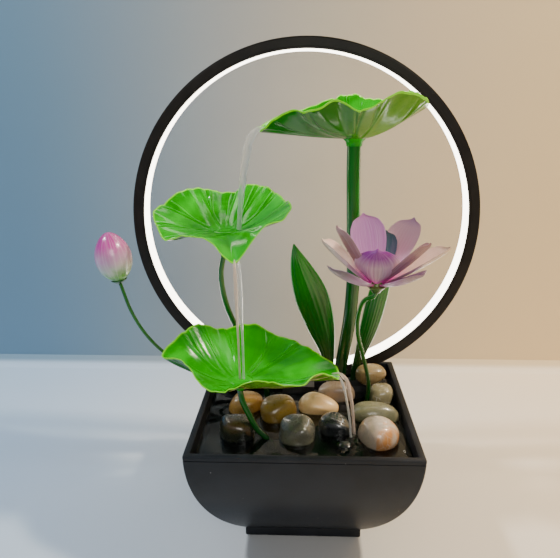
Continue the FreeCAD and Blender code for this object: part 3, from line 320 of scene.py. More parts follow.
# ---------------------------------------------------------------- shader helpers
class Wiring:
    """Short-hand for adding and linking the nodes of one material or group."""

    def __init__(self, tree: NodeTree, material: Material | None = None) -> None:
        """Keeps the tree that nodes go into, and the material's shader.

        Args:
            tree: the material's or the group's nodes.
            material: the material, or nothing for a group.
        """
        self.tree = tree
        self.material = material
        self.shader = tree.nodes.get("Principled BSDF")

    def add(self, kind: str, inputs: dict | None = None, **settings: object) -> Node:
        """Adds a node.

        Args:
            kind: the node's type without "ShaderNode".
            inputs: values or sockets by input name or number.
            settings: the node's own properties.

        Returns:
            The node.
        """
        node = self.tree.nodes.new("ShaderNode" + kind)
        for key, value in settings.items():
            setattr(node, key, value)
        for key, value in (inputs or {}).items():
            self.feed(node.inputs[key], value)
        return node

    def feed(self, socket: NodeSocket, value: object) -> None:
        """Links a socket to a socket, or sets its value.

        Args:
            socket: the input.
            value: an output, a colour or a number.
        """
        if isinstance(value, NodeSocket):
            self.tree.links.new(value, socket)
        elif isinstance(value, tuple) and len(value) == 3 and socket.type == "RGBA":
            socket.default_value = (*value, 1.0)
        else:
            socket.default_value = value

    def math(self, kind: str, *values: object, clamp: bool = False) -> NodeSocket:
        """One sum on numbers."""
        node = self.add("Math", dict(enumerate(values)), operation=kind, use_clamp=clamp)
        return node.outputs[0]

    def noise(self, vector: NodeSocket, scale: object, detail: float = 4.0,
              rough: float = 0.55, bend: float = 0.0) -> NodeSocket:
        """Cloudy noise from 0 to 1.

        Args:
            vector: where to read it.
            scale: how fine it is.
            detail: how many finer layers it has.
            rough: how strong those are.
            bend: how far it swirls.

        Returns:
            The noise.
        """
        node = self.add("TexNoise", {"Vector": vector, "Scale": scale, "Detail": detail,
                                     "Roughness": rough, "Distortion": bend})
        return node.outputs["Fac"]

    def steps(self, value: NodeSocket, stops: list[tuple[float, Colour]]
              ) -> NodeSocket:
        """Colours blended along a value.

        Args:
            value: where along the stops.
            stops: (place, colour) pairs.

        Returns:
            The colour.
        """
        node = self.add("ValToRGB", {"Fac": value})
        ramp = node.color_ramp
        while len(ramp.elements) < len(stops):
            ramp.elements.new(0.5)
        for element, (at, colour) in zip(ramp.elements, stops):
            element.position = at
            element.color = (*colour, 1.0)
        return node.outputs["Color"]

    def between(self, value: NodeSocket, low: float, high: float,
                to_low: float = 0.0, to_high: float = 1.0) -> NodeSocket:
        """A value's range carried to another, smoothly and clamped.

        Args:
            value: the value.
            low: where its range starts.
            high: where its range ends.
            to_low: what the start becomes.
            to_high: what the end becomes.

        Returns:
            The new value.
        """
        node = self.add("MapRange", {"Value": value, "From Min": low, "From Max": high,
                                     "To Min": to_low, "To Max": to_high},
                        interpolation_type="SMOOTHSTEP")
        return node.outputs["Result"]

    def blend(self, share: object, first: object, second: object) -> NodeSocket:
        """Mixes two colours.

        Args:
            share: how much of the second.
            first: a colour.
            second: a colour.

        Returns:
            The mixed colour.
        """
        node = self.add("Mix", data_type="RGBA")
        self.feed(node.inputs[0], share)
        self.feed(node.inputs[6], first)
        self.feed(node.inputs[7], second)
        return node.outputs[2]

    def bump(self, height: NodeSocket, depth: float,
             strength: float = 1.0) -> NodeSocket:
        """A normal from a height; depth in metres."""
        node = self.add("Bump", {"Height": height, "Distance": depth, "Strength": strength})
        return node.outputs["Normal"]

    def split(self, vector: NodeSocket) -> list[NodeSocket]:
        """A vector's three numbers."""
        return list(self.add("SeparateXYZ", {"Vector": vector}).outputs)

    def place(self) -> NodeSocket:
        """Object coordinates, in metres."""
        return self.add("TexCoord").outputs["Object"]

    def wrap(self) -> NodeSocket:
        """The piece's own UV map."""
        return self.add("UVMap", uv_map="Wrap").outputs["UV"]

    def group(self, tree: NodeTree, inputs: dict) -> dict[str, NodeSocket]:
        """Places a shared group with this material's own values.

        Args:
            tree: the group.
            inputs: values or sockets by input name.

        Returns:
            The group's outputs by name.
        """
        node = self.add("Group", inputs, node_tree=tree)
        return {socket.name: socket for socket in node.outputs}

    def shade(self, **inputs: object) -> Material:
        """Feeds the material's shader.

        Args:
            inputs: values or sockets by shader input, with _ for a space.

        Returns:
            The material.
        """
        for key, value in inputs.items():
            self.feed(self.shader.inputs[key.replace("_", " ")], value)
        return self.material


def new_group(name: str, inputs: dict[str, tuple[str, object]], outputs: list[str]
              ) -> tuple[Wiring, Node, Node]:
    """An empty shader group with its sockets.

    Args:
        name: the group's name.
        inputs: socket kind and start value by name; a value of None leaves it.
        outputs: names of its number outputs.

    Returns:
        Its wiring, its input node and its output node.
    """
    tree = bpy.data.node_groups.new(name, "ShaderNodeTree")
    for key, (kind, start) in inputs.items():
        socket = tree.interface.new_socket(key, in_out="INPUT", socket_type="NodeSocket" + kind)
        if start is not None:
            socket.default_value = start
    for key in outputs:
        tree.interface.new_socket(key, in_out="OUTPUT", socket_type="NodeSocketFloat")
    return (Wiring(tree), tree.nodes.new("NodeGroupInput"), tree.nodes.new("NodeGroupOutput"))


class Effects:
    """The surface effects that several finishes share, each built once."""

    def __init__(self) -> None:
        """Builds every group."""
        self.grain = self._grain()
        self.specks = self._specks()
        self.blotches = self._blotches()
        self.strands = self._strands()

    @staticmethod
    def _grain() -> NodeTree:
        """Fine moulded grain with a slow waviness under it.

        Returns:
            The group.
        """
        wiring, start, end = new_group(
            "fine_grain", {"Vector": ("Vector", None), "Scale": ("Float", 900.0),
                           "Waviness": ("Float", 0.3)}, ["Height", "Mask"])
        fine = wiring.noise(start.outputs["Vector"], start.outputs["Scale"], 3.0, 0.6)
        slow = wiring.noise(start.outputs["Vector"], 40.0, 2.0)
        height = wiring.math("ADD", fine, wiring.math("MULTIPLY", slow, start.outputs["Waviness"]))
        wiring.feed(end.inputs["Height"], height)
        wiring.feed(end.inputs["Mask"], wiring.between(slow, 0.3, 0.7))
        return wiring.tree

    @staticmethod
    def _specks() -> NodeTree:
        """Sparse pale dust: small round dots where a cell noise falls near its seeds.

        Returns:
            The group.
        """
        wiring, start, end = new_group(
            "dust_specks", {"Vector": ("Vector", None), "Scale": ("Float", 260.0),
                            "Amount": ("Float", 0.3)}, ["Mask"])
        cells = wiring.add("TexVoronoi", {"Vector": start.outputs["Vector"],
                                          "Scale": start.outputs["Scale"]})
        dot = wiring.between(cells.outputs["Distance"], 0.05, 0.16, 1.0, 0.0)
        tone = wiring.add("SeparateColor", {"Color": cells.outputs["Color"]}).outputs[0]
        picked = wiring.math("LESS_THAN", tone, start.outputs["Amount"])
        wiring.feed(end.inputs["Mask"], wiring.math("MULTIPLY", dot, picked))
        return wiring.tree

    @staticmethod
    def _blotches() -> NodeTree:
        """Two sizes of soft patches, as in river stone and dyed plastic.

        Returns:
            The group.
        """
        wiring, start, end = new_group(
            "blotches", {"Vector": ("Vector", None), "Scale": ("Float", 60.0)},
            ["Wide", "Small"])
        wide = wiring.noise(start.outputs["Vector"], start.outputs["Scale"], 3.0, 0.5, 0.6)
        scale = wiring.math("MULTIPLY", start.outputs["Scale"], 7.0)
        small = wiring.noise(start.outputs["Vector"], scale, 5.0, 0.7)
        wiring.feed(end.inputs["Wide"], wiring.between(wide, 0.35, 0.65))
        wiring.feed(end.inputs["Small"], small)
        return wiring.tree

    @staticmethod
    def _strands() -> NodeTree:
        """Fine lines along a wrapped piece: noise stretched along its length.

        Returns:
            The group.
        """
        wiring, start, end = new_group(
            "long_strands", {"Wrap": ("Vector", None), "Across": ("Float", 60.0),
                             "Along": ("Float", 2.0)}, ["Height", "Mask"])
        parts = wiring.split(start.outputs["Wrap"])
        u = wiring.math("MULTIPLY", parts[0], start.outputs["Across"])
        v = wiring.math("MULTIPLY", parts[1], start.outputs["Along"])
        vector = wiring.add("CombineXYZ", {0: u, 1: v}).outputs[0]
        lines = wiring.noise(vector, 1.0, 3.0, 0.6)
        wiring.feed(end.inputs["Height"], lines)
        wiring.feed(end.inputs["Mask"], wiring.between(lines, 0.45, 0.62))
        return wiring.tree


def principled(name: str, **constants: object) -> Wiring:
    """A new material with its shader and the shader's plain values.

    Args:
        name: the material's name.
        constants: shader inputs, with _ for a space.

    Returns:
        The material's wiring.
    """
    material = bpy.data.materials.new(name)
    material.use_nodes = True
    wiring = Wiring(material.node_tree, material)
    wiring.shade(**constants)
    return wiring


# ---------------------------------------------------------------- finishes
@dataclass(frozen=True)
class MouldedFinish:
    """Plastic, rubber, paint or metal with grain, soft tone changes and dust."""

    name: str
    colour: Colour
    roughness: float = 0.5
    metallic: float = 0.0
    grain: float = 900.0
    depth: float = 0.00004
    dust: float = 0.0
    coat: float = 0.0
    tone: float = 0.25
    shine: float = 0.5

    def material(self, effects: Effects) -> Material:
        """Builds the material from this finish's values.

        Args:
            effects: the shared effect groups.

        Returns:
            The material.
        """
        wiring = principled(
            self.name, Metallic=self.metallic, Coat_Weight=self.coat, Coat_Roughness=0.1,
            Specular_IOR_Level=self.shine)
        where = wiring.place()
        grain = wiring.group(effects.grain, {"Vector": where, "Scale": self.grain})
        low = tuple(channel * (1 - self.tone) for channel in self.colour)
        high = tuple(min(1.0, channel * (1 + self.tone)) for channel in self.colour)
        colour = wiring.blend(grain["Mask"], low, high)
        rough = wiring.between(grain["Height"], 0.3, 1.0, self.roughness * 0.85,
                               min(1.0, self.roughness * 1.2))
        if self.dust > 0:
            specks = wiring.group(effects.specks, {"Vector": where, "Amount": self.dust})
            colour = wiring.blend(wiring.math("MULTIPLY", specks["Mask"], 0.45), colour,
                                  (0.42, 0.42, 0.42))
        return wiring.shade(Base_Color=colour, Roughness=rough,
                            Normal=wiring.bump(grain["Height"], self.depth))


@dataclass(frozen=True)
class LeafFinish:
    """Glossy lotus leaf: vivid top in random patches of lit green and painted shade, yellow rim,
    and below a painted-lit olive side that fades to painted-shade dark green.
    """

    name: str
    # lit and shade are a lit and a painted-shade copy of the top's green
    lit: Colour = (0.014, 0.46, 0.0)
    shade: Colour = (0.003, 0.25, 0.0)
    rim: Colour = (0.30, 0.85, 0.01)
    # under is the painted-lit olive of the underside's lit side
    under: Colour = (0.085, 0.25, 0.008)
    under_painted_shade: Colour = (0.004, 0.12, 0.004)

    def material(self, effects: Effects) -> Material:
        """The wrap's u runs round the leaf, v out along the top (0 to 1) and back below.

        Args:
            effects: the shared effect groups.

        Returns:
            The material.
        """
        wiring = principled(self.name, Roughness=0.13, Coat_Weight=0.0,
                                              Specular_IOR_Level=0.18)
        wrap = wiring.wrap()
        around, out, _ = wiring.split(wrap)
        patches = wiring.group(effects.blotches, {"Vector": wiring.place(), "Scale": 30.0})
        fleck = wiring.between(patches["Small"], 0.45, 0.7, 0.0, 0.3)
        # painted shade and lit green in random patches, flecked with more lit green
        top = wiring.blend(patches["Wide"], self.shade, self.lit)
        top = wiring.blend(fleck, top, self.lit)
        rim = wiring.between(out, 0.965, 1.0)
        top = wiring.blend(wiring.math("MULTIPLY", rim, 0.8), top, self.rim)
        below = wiring.math("GREATER_THAN", out, 1.02)
        # underside: painted-lit olive round the +X side, fading to the painted-shade dark green
        # round the rest, flecked with painted shade
        side = wiring.between(around, 0.10, 0.34)
        back = wiring.math("SUBTRACT", 1.0, wiring.between(around, 0.70, 0.95))
        share = wiring.math("MULTIPLY", side, back)
        under = wiring.blend(share, self.under_painted_shade, self.under)
        under = wiring.blend(fleck, under, self.under_painted_shade)
        return wiring.shade(Base_Color=wiring.blend(below, top, under),
                            Normal=wiring.bump(patches["Small"], 0.0004, 0.25))


@dataclass(frozen=True)
class StemFinish:
    """Satin green stem or blade, dark low and lighter high, deepened to painted shade at its foot,
    with fine dark lines and thin painted highlight streaks along it.
    """

    name: str
    dark: Colour = (0.002, 0.055, 0.004)
    light: Colour = (0.005, 0.15, 0.002)
    roughness: float = 0.22
    across: float = 12.0
    painted_highlight_streak: Colour = (0.06, 0.34, 0.03)

    def material(self, effects: Effects) -> Material:
        """The wrap's v runs from the foot (0) to the tip (1).

        Args:
            effects: the shared effect groups.

        Returns:
            The material.
        """
        wiring = principled(self.name, Coat_Weight=0.22, Coat_Roughness=0.12)
        wrap = wiring.wrap()
        strands = wiring.group(effects.strands, {"Wrap": wrap, "Across": self.across,
                                                 "Along": 1.4})
        _, along, _ = wiring.split(wrap)
        # dark green low, light green high; the foot darkens to a quarter of the dark green as
        # painted shade
        base = wiring.steps(along, [(0.0, tuple(c * 0.25 for c in self.dark)),
                                    (0.22, self.dark), (0.75, self.light), (1.0, self.light)])
        share = wiring.math("MULTIPLY", strands["Mask"], 0.35)
        colour = wiring.blend(share, base, self.dark)
        # thin lines of a paler green along the length: painted highlights
        thin = wiring.between(strands["Height"], 0.66, 0.74)
        colour = wiring.blend(wiring.math("MULTIPLY", thin, 0.4), colour, self.painted_highlight_streak)
        rough = wiring.between(strands["Height"], 0.2, 0.8, self.roughness * 0.7,
                               self.roughness * 1.3)
        return wiring.shade(Base_Color=colour, Roughness=rough,
                            Normal=wiring.bump(strands["Height"], 0.0004, 0.25))


@dataclass(frozen=True)
class PetalFinish:
    """Painted petal: magenta at its base, a tint over the blade, a paler tip, dull underside."""

    name: str
    base: Colour
    blade: Colour
    tip: Colour
    under: Colour
    edge: Colour = (0.40, 0.26, 0.24)

    def material(self, effects: Effects) -> Material:
        """The wrap's u is 0 to 0.5 on the inside and 0.5 to 1 below; v is base to tip.

        Args:
            effects: the shared effect groups.

        Returns:
            The material.
        """
        wiring = principled(
            self.name, Roughness=0.30, Coat_Weight=0.25, Coat_Roughness=0.12,
            Specular_IOR_Level=0.3)
        wrap = wiring.wrap()
        across, along, _ = wiring.split(wrap)
        strands = wiring.group(effects.strands, {"Wrap": wrap, "Across": 70.0, "Along": 1.2})
        inside = wiring.steps(along, [(0.0, self.base), (0.13, self.base), (0.42, self.blade),
                                      (0.85, self.blade), (1.0, self.tip)])
        below = wiring.steps(along, [(0.0, self.base), (0.22, self.under), (0.55, self.under),
                                     (0.80, self.edge), (1.0, self.edge)])
        colour = wiring.blend(wiring.math("GREATER_THAN", across, 0.5), inside, below)
        share = wiring.math("MULTIPLY", strands["Mask"], 0.16)
        colour = wiring.blend(share, colour, (0.75, 0.66, 0.72))
        return wiring.shade(Base_Color=colour,
                            Normal=wiring.bump(strands["Height"], 0.0004, 0.6))


@dataclass(frozen=True)
class BudFinish:
    """Bud: green foot, grey-white middle and magenta top, brushed on with soft edges."""

    name: str

    def material(self, effects: Effects) -> Material:
        """The wrap's v runs from the foot (0) to the point (1).

        Args:
            effects: the shared effect groups.

        Returns:
            The material.
        """
        wiring = principled(self.name, Roughness=0.25, Coat_Weight=0.5,
                                              Coat_Roughness=0.12)
        wrap = wiring.wrap()
        patches = wiring.group(effects.blotches, {"Vector": wiring.place(), "Scale": 70.0})
        _, along, _ = wiring.split(wrap)
        shift = wiring.math("MULTIPLY", patches["Wide"], 0.10)
        level = wiring.math("ADD", along, shift)
        colour = wiring.steps(level, [
            (0.05, (0.04, 0.22, 0.01)), (0.18, (0.14, 0.38, 0.04)), (0.34, (0.42, 0.46, 0.36)),
            (0.54, (0.52, 0.28, 0.44)), (0.78, (0.52, 0.06, 0.33)), (1.0, (0.40, 0.02, 0.23))])
        strands = wiring.group(effects.strands, {"Wrap": wrap, "Across": 50.0, "Along": 1.5})
        share = wiring.math("MULTIPLY", strands["Mask"], 0.15)
        return wiring.shade(Base_Color=wiring.blend(share, colour, (0.9, 0.85, 0.85)),
                            Normal=wiring.bump(strands["Height"], 0.0003, 0.5))


@dataclass(frozen=True)
class StoneFinish:
    """Wet river stone: two tones in patches, a stained area, pale scratches, fine grain."""

    name: str
    light: Colour
    dark: Colour
    stain: Colour
    stain_share: float = 0.3
    stain_from: float = 0.56
    scratch: float = 0.0
    bands: float = 0.0
    wet: float = 0.6

    def material(self, effects: Effects) -> Material:
        """Builds the material from this stone's tones.

        Args:
            effects: the shared effect groups.

        Returns:
            The material.
        """
        wiring = principled(self.name, Coat_Weight=self.wet,
                                              Coat_Roughness=0.06, Specular_IOR_Level=0.5)
        where = wiring.place()
        patches = wiring.group(effects.blotches, {"Vector": where, "Scale": 48.0})
        colour = wiring.blend(patches["Wide"], self.dark, self.light)
        fine = wiring.between(patches["Small"], 0.35, 0.7, 0.0, 0.35)
        colour = wiring.blend(fine, colour, tuple(c * 0.7 for c in self.dark))
        area = wiring.noise(where, 33.0, 2.0, 0.5, 0.8)
        colour = wiring.blend(wiring.between(area, self.stain_from, self.stain_from + 0.1,
                                            0.0, self.stain_share), colour,
                              self.stain)
        if self.bands > 0:
            swirl = wiring.add("TexWave", {"Vector": where, "Scale": self.bands,
                                           "Distortion": 7.0, "Detail": 2.0}, wave_type="RINGS")
            share = wiring.math("MULTIPLY", swirl.outputs["Fac"], 0.3)
            colour = wiring.blend(share, colour, tuple(c * 0.55 for c in self.dark))
        if self.scratch > 0:
            web = wiring.add("TexVoronoi", {"Vector": where, "Scale": 120.0},
                             feature="DISTANCE_TO_EDGE")
            line = wiring.between(web.outputs["Distance"], 0.0, 0.035, 1.0, 0.0)
            near = wiring.between(area, 0.45, 0.6)
            share = wiring.math("MULTIPLY", wiring.math("MULTIPLY", line, near), self.scratch)
            colour = wiring.blend(share, colour, (0.75, 0.72, 0.66))
        rough = wiring.between(patches["Small"], 0.3, 0.7, 0.22, 0.42)
        return wiring.shade(Base_Color=colour, Roughness=rough,
                            Normal=wiring.bump(patches["Small"], 0.0005, 0.35))


@dataclass(frozen=True)
class WaterFinish:
    """Clear water, rippled a little, its tint a touch darker in the ripples' troughs as painted
    shade.
    """

    name: str
    tint: Colour = (0.80, 0.86, 0.86)
    clear: float = 1.0
    ripple: float = 120.0
    depth: float = 0.0004

    def material(self, effects: Effects) -> Material:
        """Builds the material; transmission and metallic stay plain.

        Args:
            effects: the shared effect groups; not used.

        Returns:
            The material.
        """
        wiring = principled(self.name, Roughness=0.03, IOR=1.333,
                                              Transmission_Weight=self.clear, Metallic=0.0)
        where = wiring.place()
        waves = wiring.noise(where, self.ripple, 2.0, 0.5, 0.5)
        # tint 8% darker where the ripple noise is low: painted shade in the troughs
        low = tuple(channel * 0.92 for channel in self.tint)
        return wiring.shade(Base_Color=wiring.blend(waves, low, self.tint),
                            Normal=wiring.bump(waves, self.depth, 0.7))


@dataclass(frozen=True)
class GlowFinish:
    """Milky light band: bright, a little dimmer in faint patches."""

    name: str
    colour: Colour = (1.0, 0.93, 0.80)
    strength: float = 9.0

    def material(self, effects: Effects) -> Material:
        """Builds the material.

        Args:
            effects: the shared effect groups.

        Returns:
            The material.
        """
        wiring = principled(self.name, Roughness=0.35,
                                              Emission_Strength=self.strength)
        grain = wiring.group(effects.grain, {"Vector": wiring.place(), "Scale": 300.0})
        soft = tuple(channel * 0.9 for channel in self.colour)
        glow = wiring.blend(grain["Mask"], soft, self.colour)
        milk = wiring.blend(grain["Mask"], (0.86, 0.85, 0.82), (0.9, 0.9, 0.88))
        return wiring.shade(Base_Color=milk, Emission_Color=glow,
                            Normal=wiring.bump(grain["Height"], 0.00003))


# ---------------------------------------------------------------- bowl and foot
@dataclass
class Bowl:
    """Square bowl with curved sides, its foot, and what closes it."""

    rim_half: float = 90.0
    rim_z: float = 102.5
    wall: float = 5.3
    foot_top: float = 49.0
    foot_half: float = 48.5
    foot_z: float = 10.0
    pad_z: float = 1.5

    def side(self, inward: float, height: np.ndarray) -> np.ndarray:
        """Half width at a height: an arc that stands upright at the rim.

        Args:
            inward: distance in from the outer face.
            height: the heights.

        Returns:
            A half width for each height.
        """
        run, rise = self.rim_half - self.foot_top, self.rim_z - self.foot_z
        reach = (run * run + rise * rise) / (2 * run)
        drop = np.clip(self.rim_z - height, 0, None)
        return self.rim_half - reach + np.sqrt((reach - inward) ** 2 - drop ** 2)

    def build(self, effects: Effects) -> None:
        """Makes the bowl and its foot.

        The bowl is rounded squares up the outside, over the rim and down the inside; each half
        width is the side's at that height, less a little where the rim's edges are eased.

        Args:
            effects: the shared effect groups.
        """
        black = MouldedFinish("bowl_matte_black", (0.008, 0.010, 0.014), 0.42, grain=1400.0,
                              depth=0.00003, dust=0.05, shine=0.25).material(effects)
        out_z = np.concatenate([[self.foot_z, self.foot_z], np.linspace(10.6, 97.9, 26),
                                [98.2, 98.3, 99.1, 99.2, 99.6, 101.6, 102.2, 102.5]])
        out_half = self.side(0.0, out_z)
        out_half[0] -= 1.5
        out_half[-6:] = [89.5, 89.95, 90.0, 90.0, 89.8, 89.2]
        out_half[-7] = 89.5
        in_z = np.concatenate([[102.5, 102.2, 101.6], np.linspace(100.5, 16.2, 26), [15.2, 15.0]])
        in_half = self.side(self.wall, in_z)
        in_half[0] += 0.9
        in_half[1] += 0.25
        in_half[-2:] = in_half[-3] - np.array([1.0, 2.2])
        half = np.concatenate([out_half, in_half])
        height = np.concatenate([out_z, in_z])
        corner = np.concatenate([np.full(len(out_z), 1.6), np.full(len(in_z), 1.2)])
        bowl = skin("bowl_shell", square_rings(half, height, corner))
        crease(bowl, 40)
        place(bowl, black, Body.BOWL, "bowl_black", "bowl")
        foot_z = np.array([self.pad_z, self.pad_z, 2.3, 9.2, 9.98, 9.98])
        foot_half = np.array([46.5, 47.7, 48.5, 48.5, 48.2, 45.0])
        foot = skin("bowl_plinth", square_rings(foot_half, foot_z, np.full(6, 1.5)))
        crease(foot, 40)
        place(foot, black, Body.BOWL, "bowl_black", "bowl_foot")


@dataclass
class Screws:
    """Pan-head screws with a cross recess."""

    head: float = 2.8
    high: float = 1.8
    shank: float = 1.5
    foot_reach: float = 34.0
    foot_seat: float = 3.5
    saddle_reach: float = 28.0
    saddle_y: float = 89.9
    saddle_z: float = 90.0

    def rings(self, length: float) -> np.ndarray:
        """Rings from the shank's end to the head's crown, whose middle dips in a cross.

        The crown's height is a dome less a recess where cos(4a) is high near the middle.

        Args:
            length: the shank's length.

        Returns:
            Rings of points, shape (rows, points in a ring, 3).
        """
        turn = np.linspace(0, 2 * math.pi, 48, endpoint=False)
        radius = np.array([self.shank * 0.7, self.shank, self.shank, self.head, self.head,
                           self.head * 0.86, self.head * 0.6, self.head * 0.45, self.head * 0.2])
        along = np.array([-length, -length + 0.6, 0.0, 0.0, self.high * 0.5, self.high * 0.85,
                          self.high, self.high, self.high])
        cross = np.clip(np.cos(4 * turn) * 3 - 1.2, 0, 1)[None, :]
        dip = np.array([0, 0, 0, 0, 0, 0, 0, 0.75, 0.9])[:, None] * cross
        x = radius[:, None] * np.cos(turn)
        y = radius[:, None] * np.sin(turn)
        z = along[:, None] - dip + 0 * x
        z[-1] = self.high - 0.9
        return np.stack([x, y, z], -1)

    def build(self, effects: Effects) -> None:
        """Makes the four foot screws and the two saddle screws.

        Args:
            effects: the shared effect groups.
        """
        steel = MouldedFinish("screw_zinc", (0.52, 0.52, 0.55), 0.28, 1.0, 600.0,
                              depth=0.00001).material(effects)
        low = self.rings(9.5)
        feet = []
        for number, (x, y) in enumerate(((-1, -1), (1, -1), (1, 1), (-1, 1))):
            seat = (x * self.foot_reach, y * self.foot_reach, self.foot_seat)
            spot = low * np.array([1, 1, -1]) + np.array(seat)
            feet.append(skin(f"foot_screw_{number}", spot))
        screws = joined("foot_screw_set", feet)
        crease(screws, 35)
        place(screws, steel, Body.BOWL, "screw_steel", "foot_screws")
        back = self.rings(22.0)
        pair = []
        for number, side in enumerate((-1, 1)):
            spot = np.stack([back[..., 0] + side * self.saddle_reach,
                             back[..., 2] + self.saddle_y, back[..., 1] + self.saddle_z], -1)
            pair.append(skin(f"saddle_screw_{number}", spot))
        screws = joined("saddle_screw_pair", pair)
        crease(screws, 35)
        place(screws, steel, Body.BOWL, "screw_steel", "saddle_screws")


# ---------------------------------------------------------------- lit hoop
@dataclass
class Hoop:
    """Lit hoop: painted channel, milky band and back cover."""

    outer: float = 158.0
    inner: float = 148.0
    wall: float = 1.5
    front: float = 61.5
    back: float = 83.5
    centre_z: float = 252.0
    steps: int = 320

    def section(self, name: str, profile: list[tuple[float, float]]) -> Object:
        """A closed (radius, y) profile carried round the hoop.

        Args:
            name: the piece's name.
            profile: (radius, y) pairs of its outline.

        Returns:
            The piece.
        """
        obj = skin(name, spun(profile, (0, 0, self.centre_z), self.steps, Axis.Y), torus=True)
        crease(obj, 38)
        return obj

    def build(self, effects: Effects) -> None:
        """Makes the channel, the band, the back cover and the wire hole's plug.

        Args:
            effects: the shared effect groups.
        """
        paint = MouldedFinish("hoop_black_paint", (0.014, 0.011, 0.009), 0.42, 0.0, 1100.0,
                              depth=0.00003, dust=0.035, shine=0.2).material(effects)
        f, o, i, s = self.front, self.outer, self.inner, self.wall
        behind = self.back - s
        channel = self.section("hoop_channel", [
            (i, f + 0.5), (i + 0.5, f), (i + 1.4, f), (i + 1.6, f + 0.25), (i + 1.9, f + 0.25),
            (i + 2.1, f), (o - 1.5, f), (o - 1.3, f + 0.2), (o - 1.0, f + 0.2), (o - 0.5, f + 0.05),
            (o, f + 0.6), (o, behind - 0.1), (o - s, behind - 0.1), (o - s, f + s), (i, f + s)])
        place(channel, paint, Body.BOWL, "ring_black", "ring_channel")
        cover = self.section("hoop_back_cover", [
            (i, behind), (o - 0.1, behind), (o - 0.1, self.back - 0.4), (o - 0.5, self.back),
            (o - 3.0, self.back), (o - 3.3, self.back - 0.35), (i + 3.3, self.back - 0.35),
            (i + 3.0, self.back), (i + 0.4, self.back), (i, self.back - 0.4)])
        place(cover, paint, Body.BOWL, "ring_black", "ring_back_cover")
        glow = GlowFinish("light_band_milky").material(effects)
        band = self.section("hoop_light_band", [
            (i + 1.2, f + s + 0.05), (i - 0.3, f + s + 0.05), (i - 0.4, f + s + 0.5),
            (i - 0.4, behind - 0.6), (i - 0.3, behind - 0.05), (i + 1.2, behind - 0.05)])
        place(band, glow, Body.BOWL, "diffuser_white", "ring_diffuser")
        rubber = MouldedFinish("wire_plug_rubber", (0.006, 0.006, 0.006), 0.7).material(effects)
        angle = math.radians(45.7)
        spot = ((o - 1.9) * math.cos(angle), f, self.centre_z + (o - 1.9) * math.sin(angle))
        plug = skin("wire_plug", turned_solid(
            [(0.3, 0.9), (1.2, 0.9), (1.25, -0.15), (1.1, -0.2), (0.9, -0.15), (0.75, 0.3),
             (0.2, 0.35)], spot, 24, Axis.Y))
        place(plug, rubber, Body.BOWL, "soft_black")


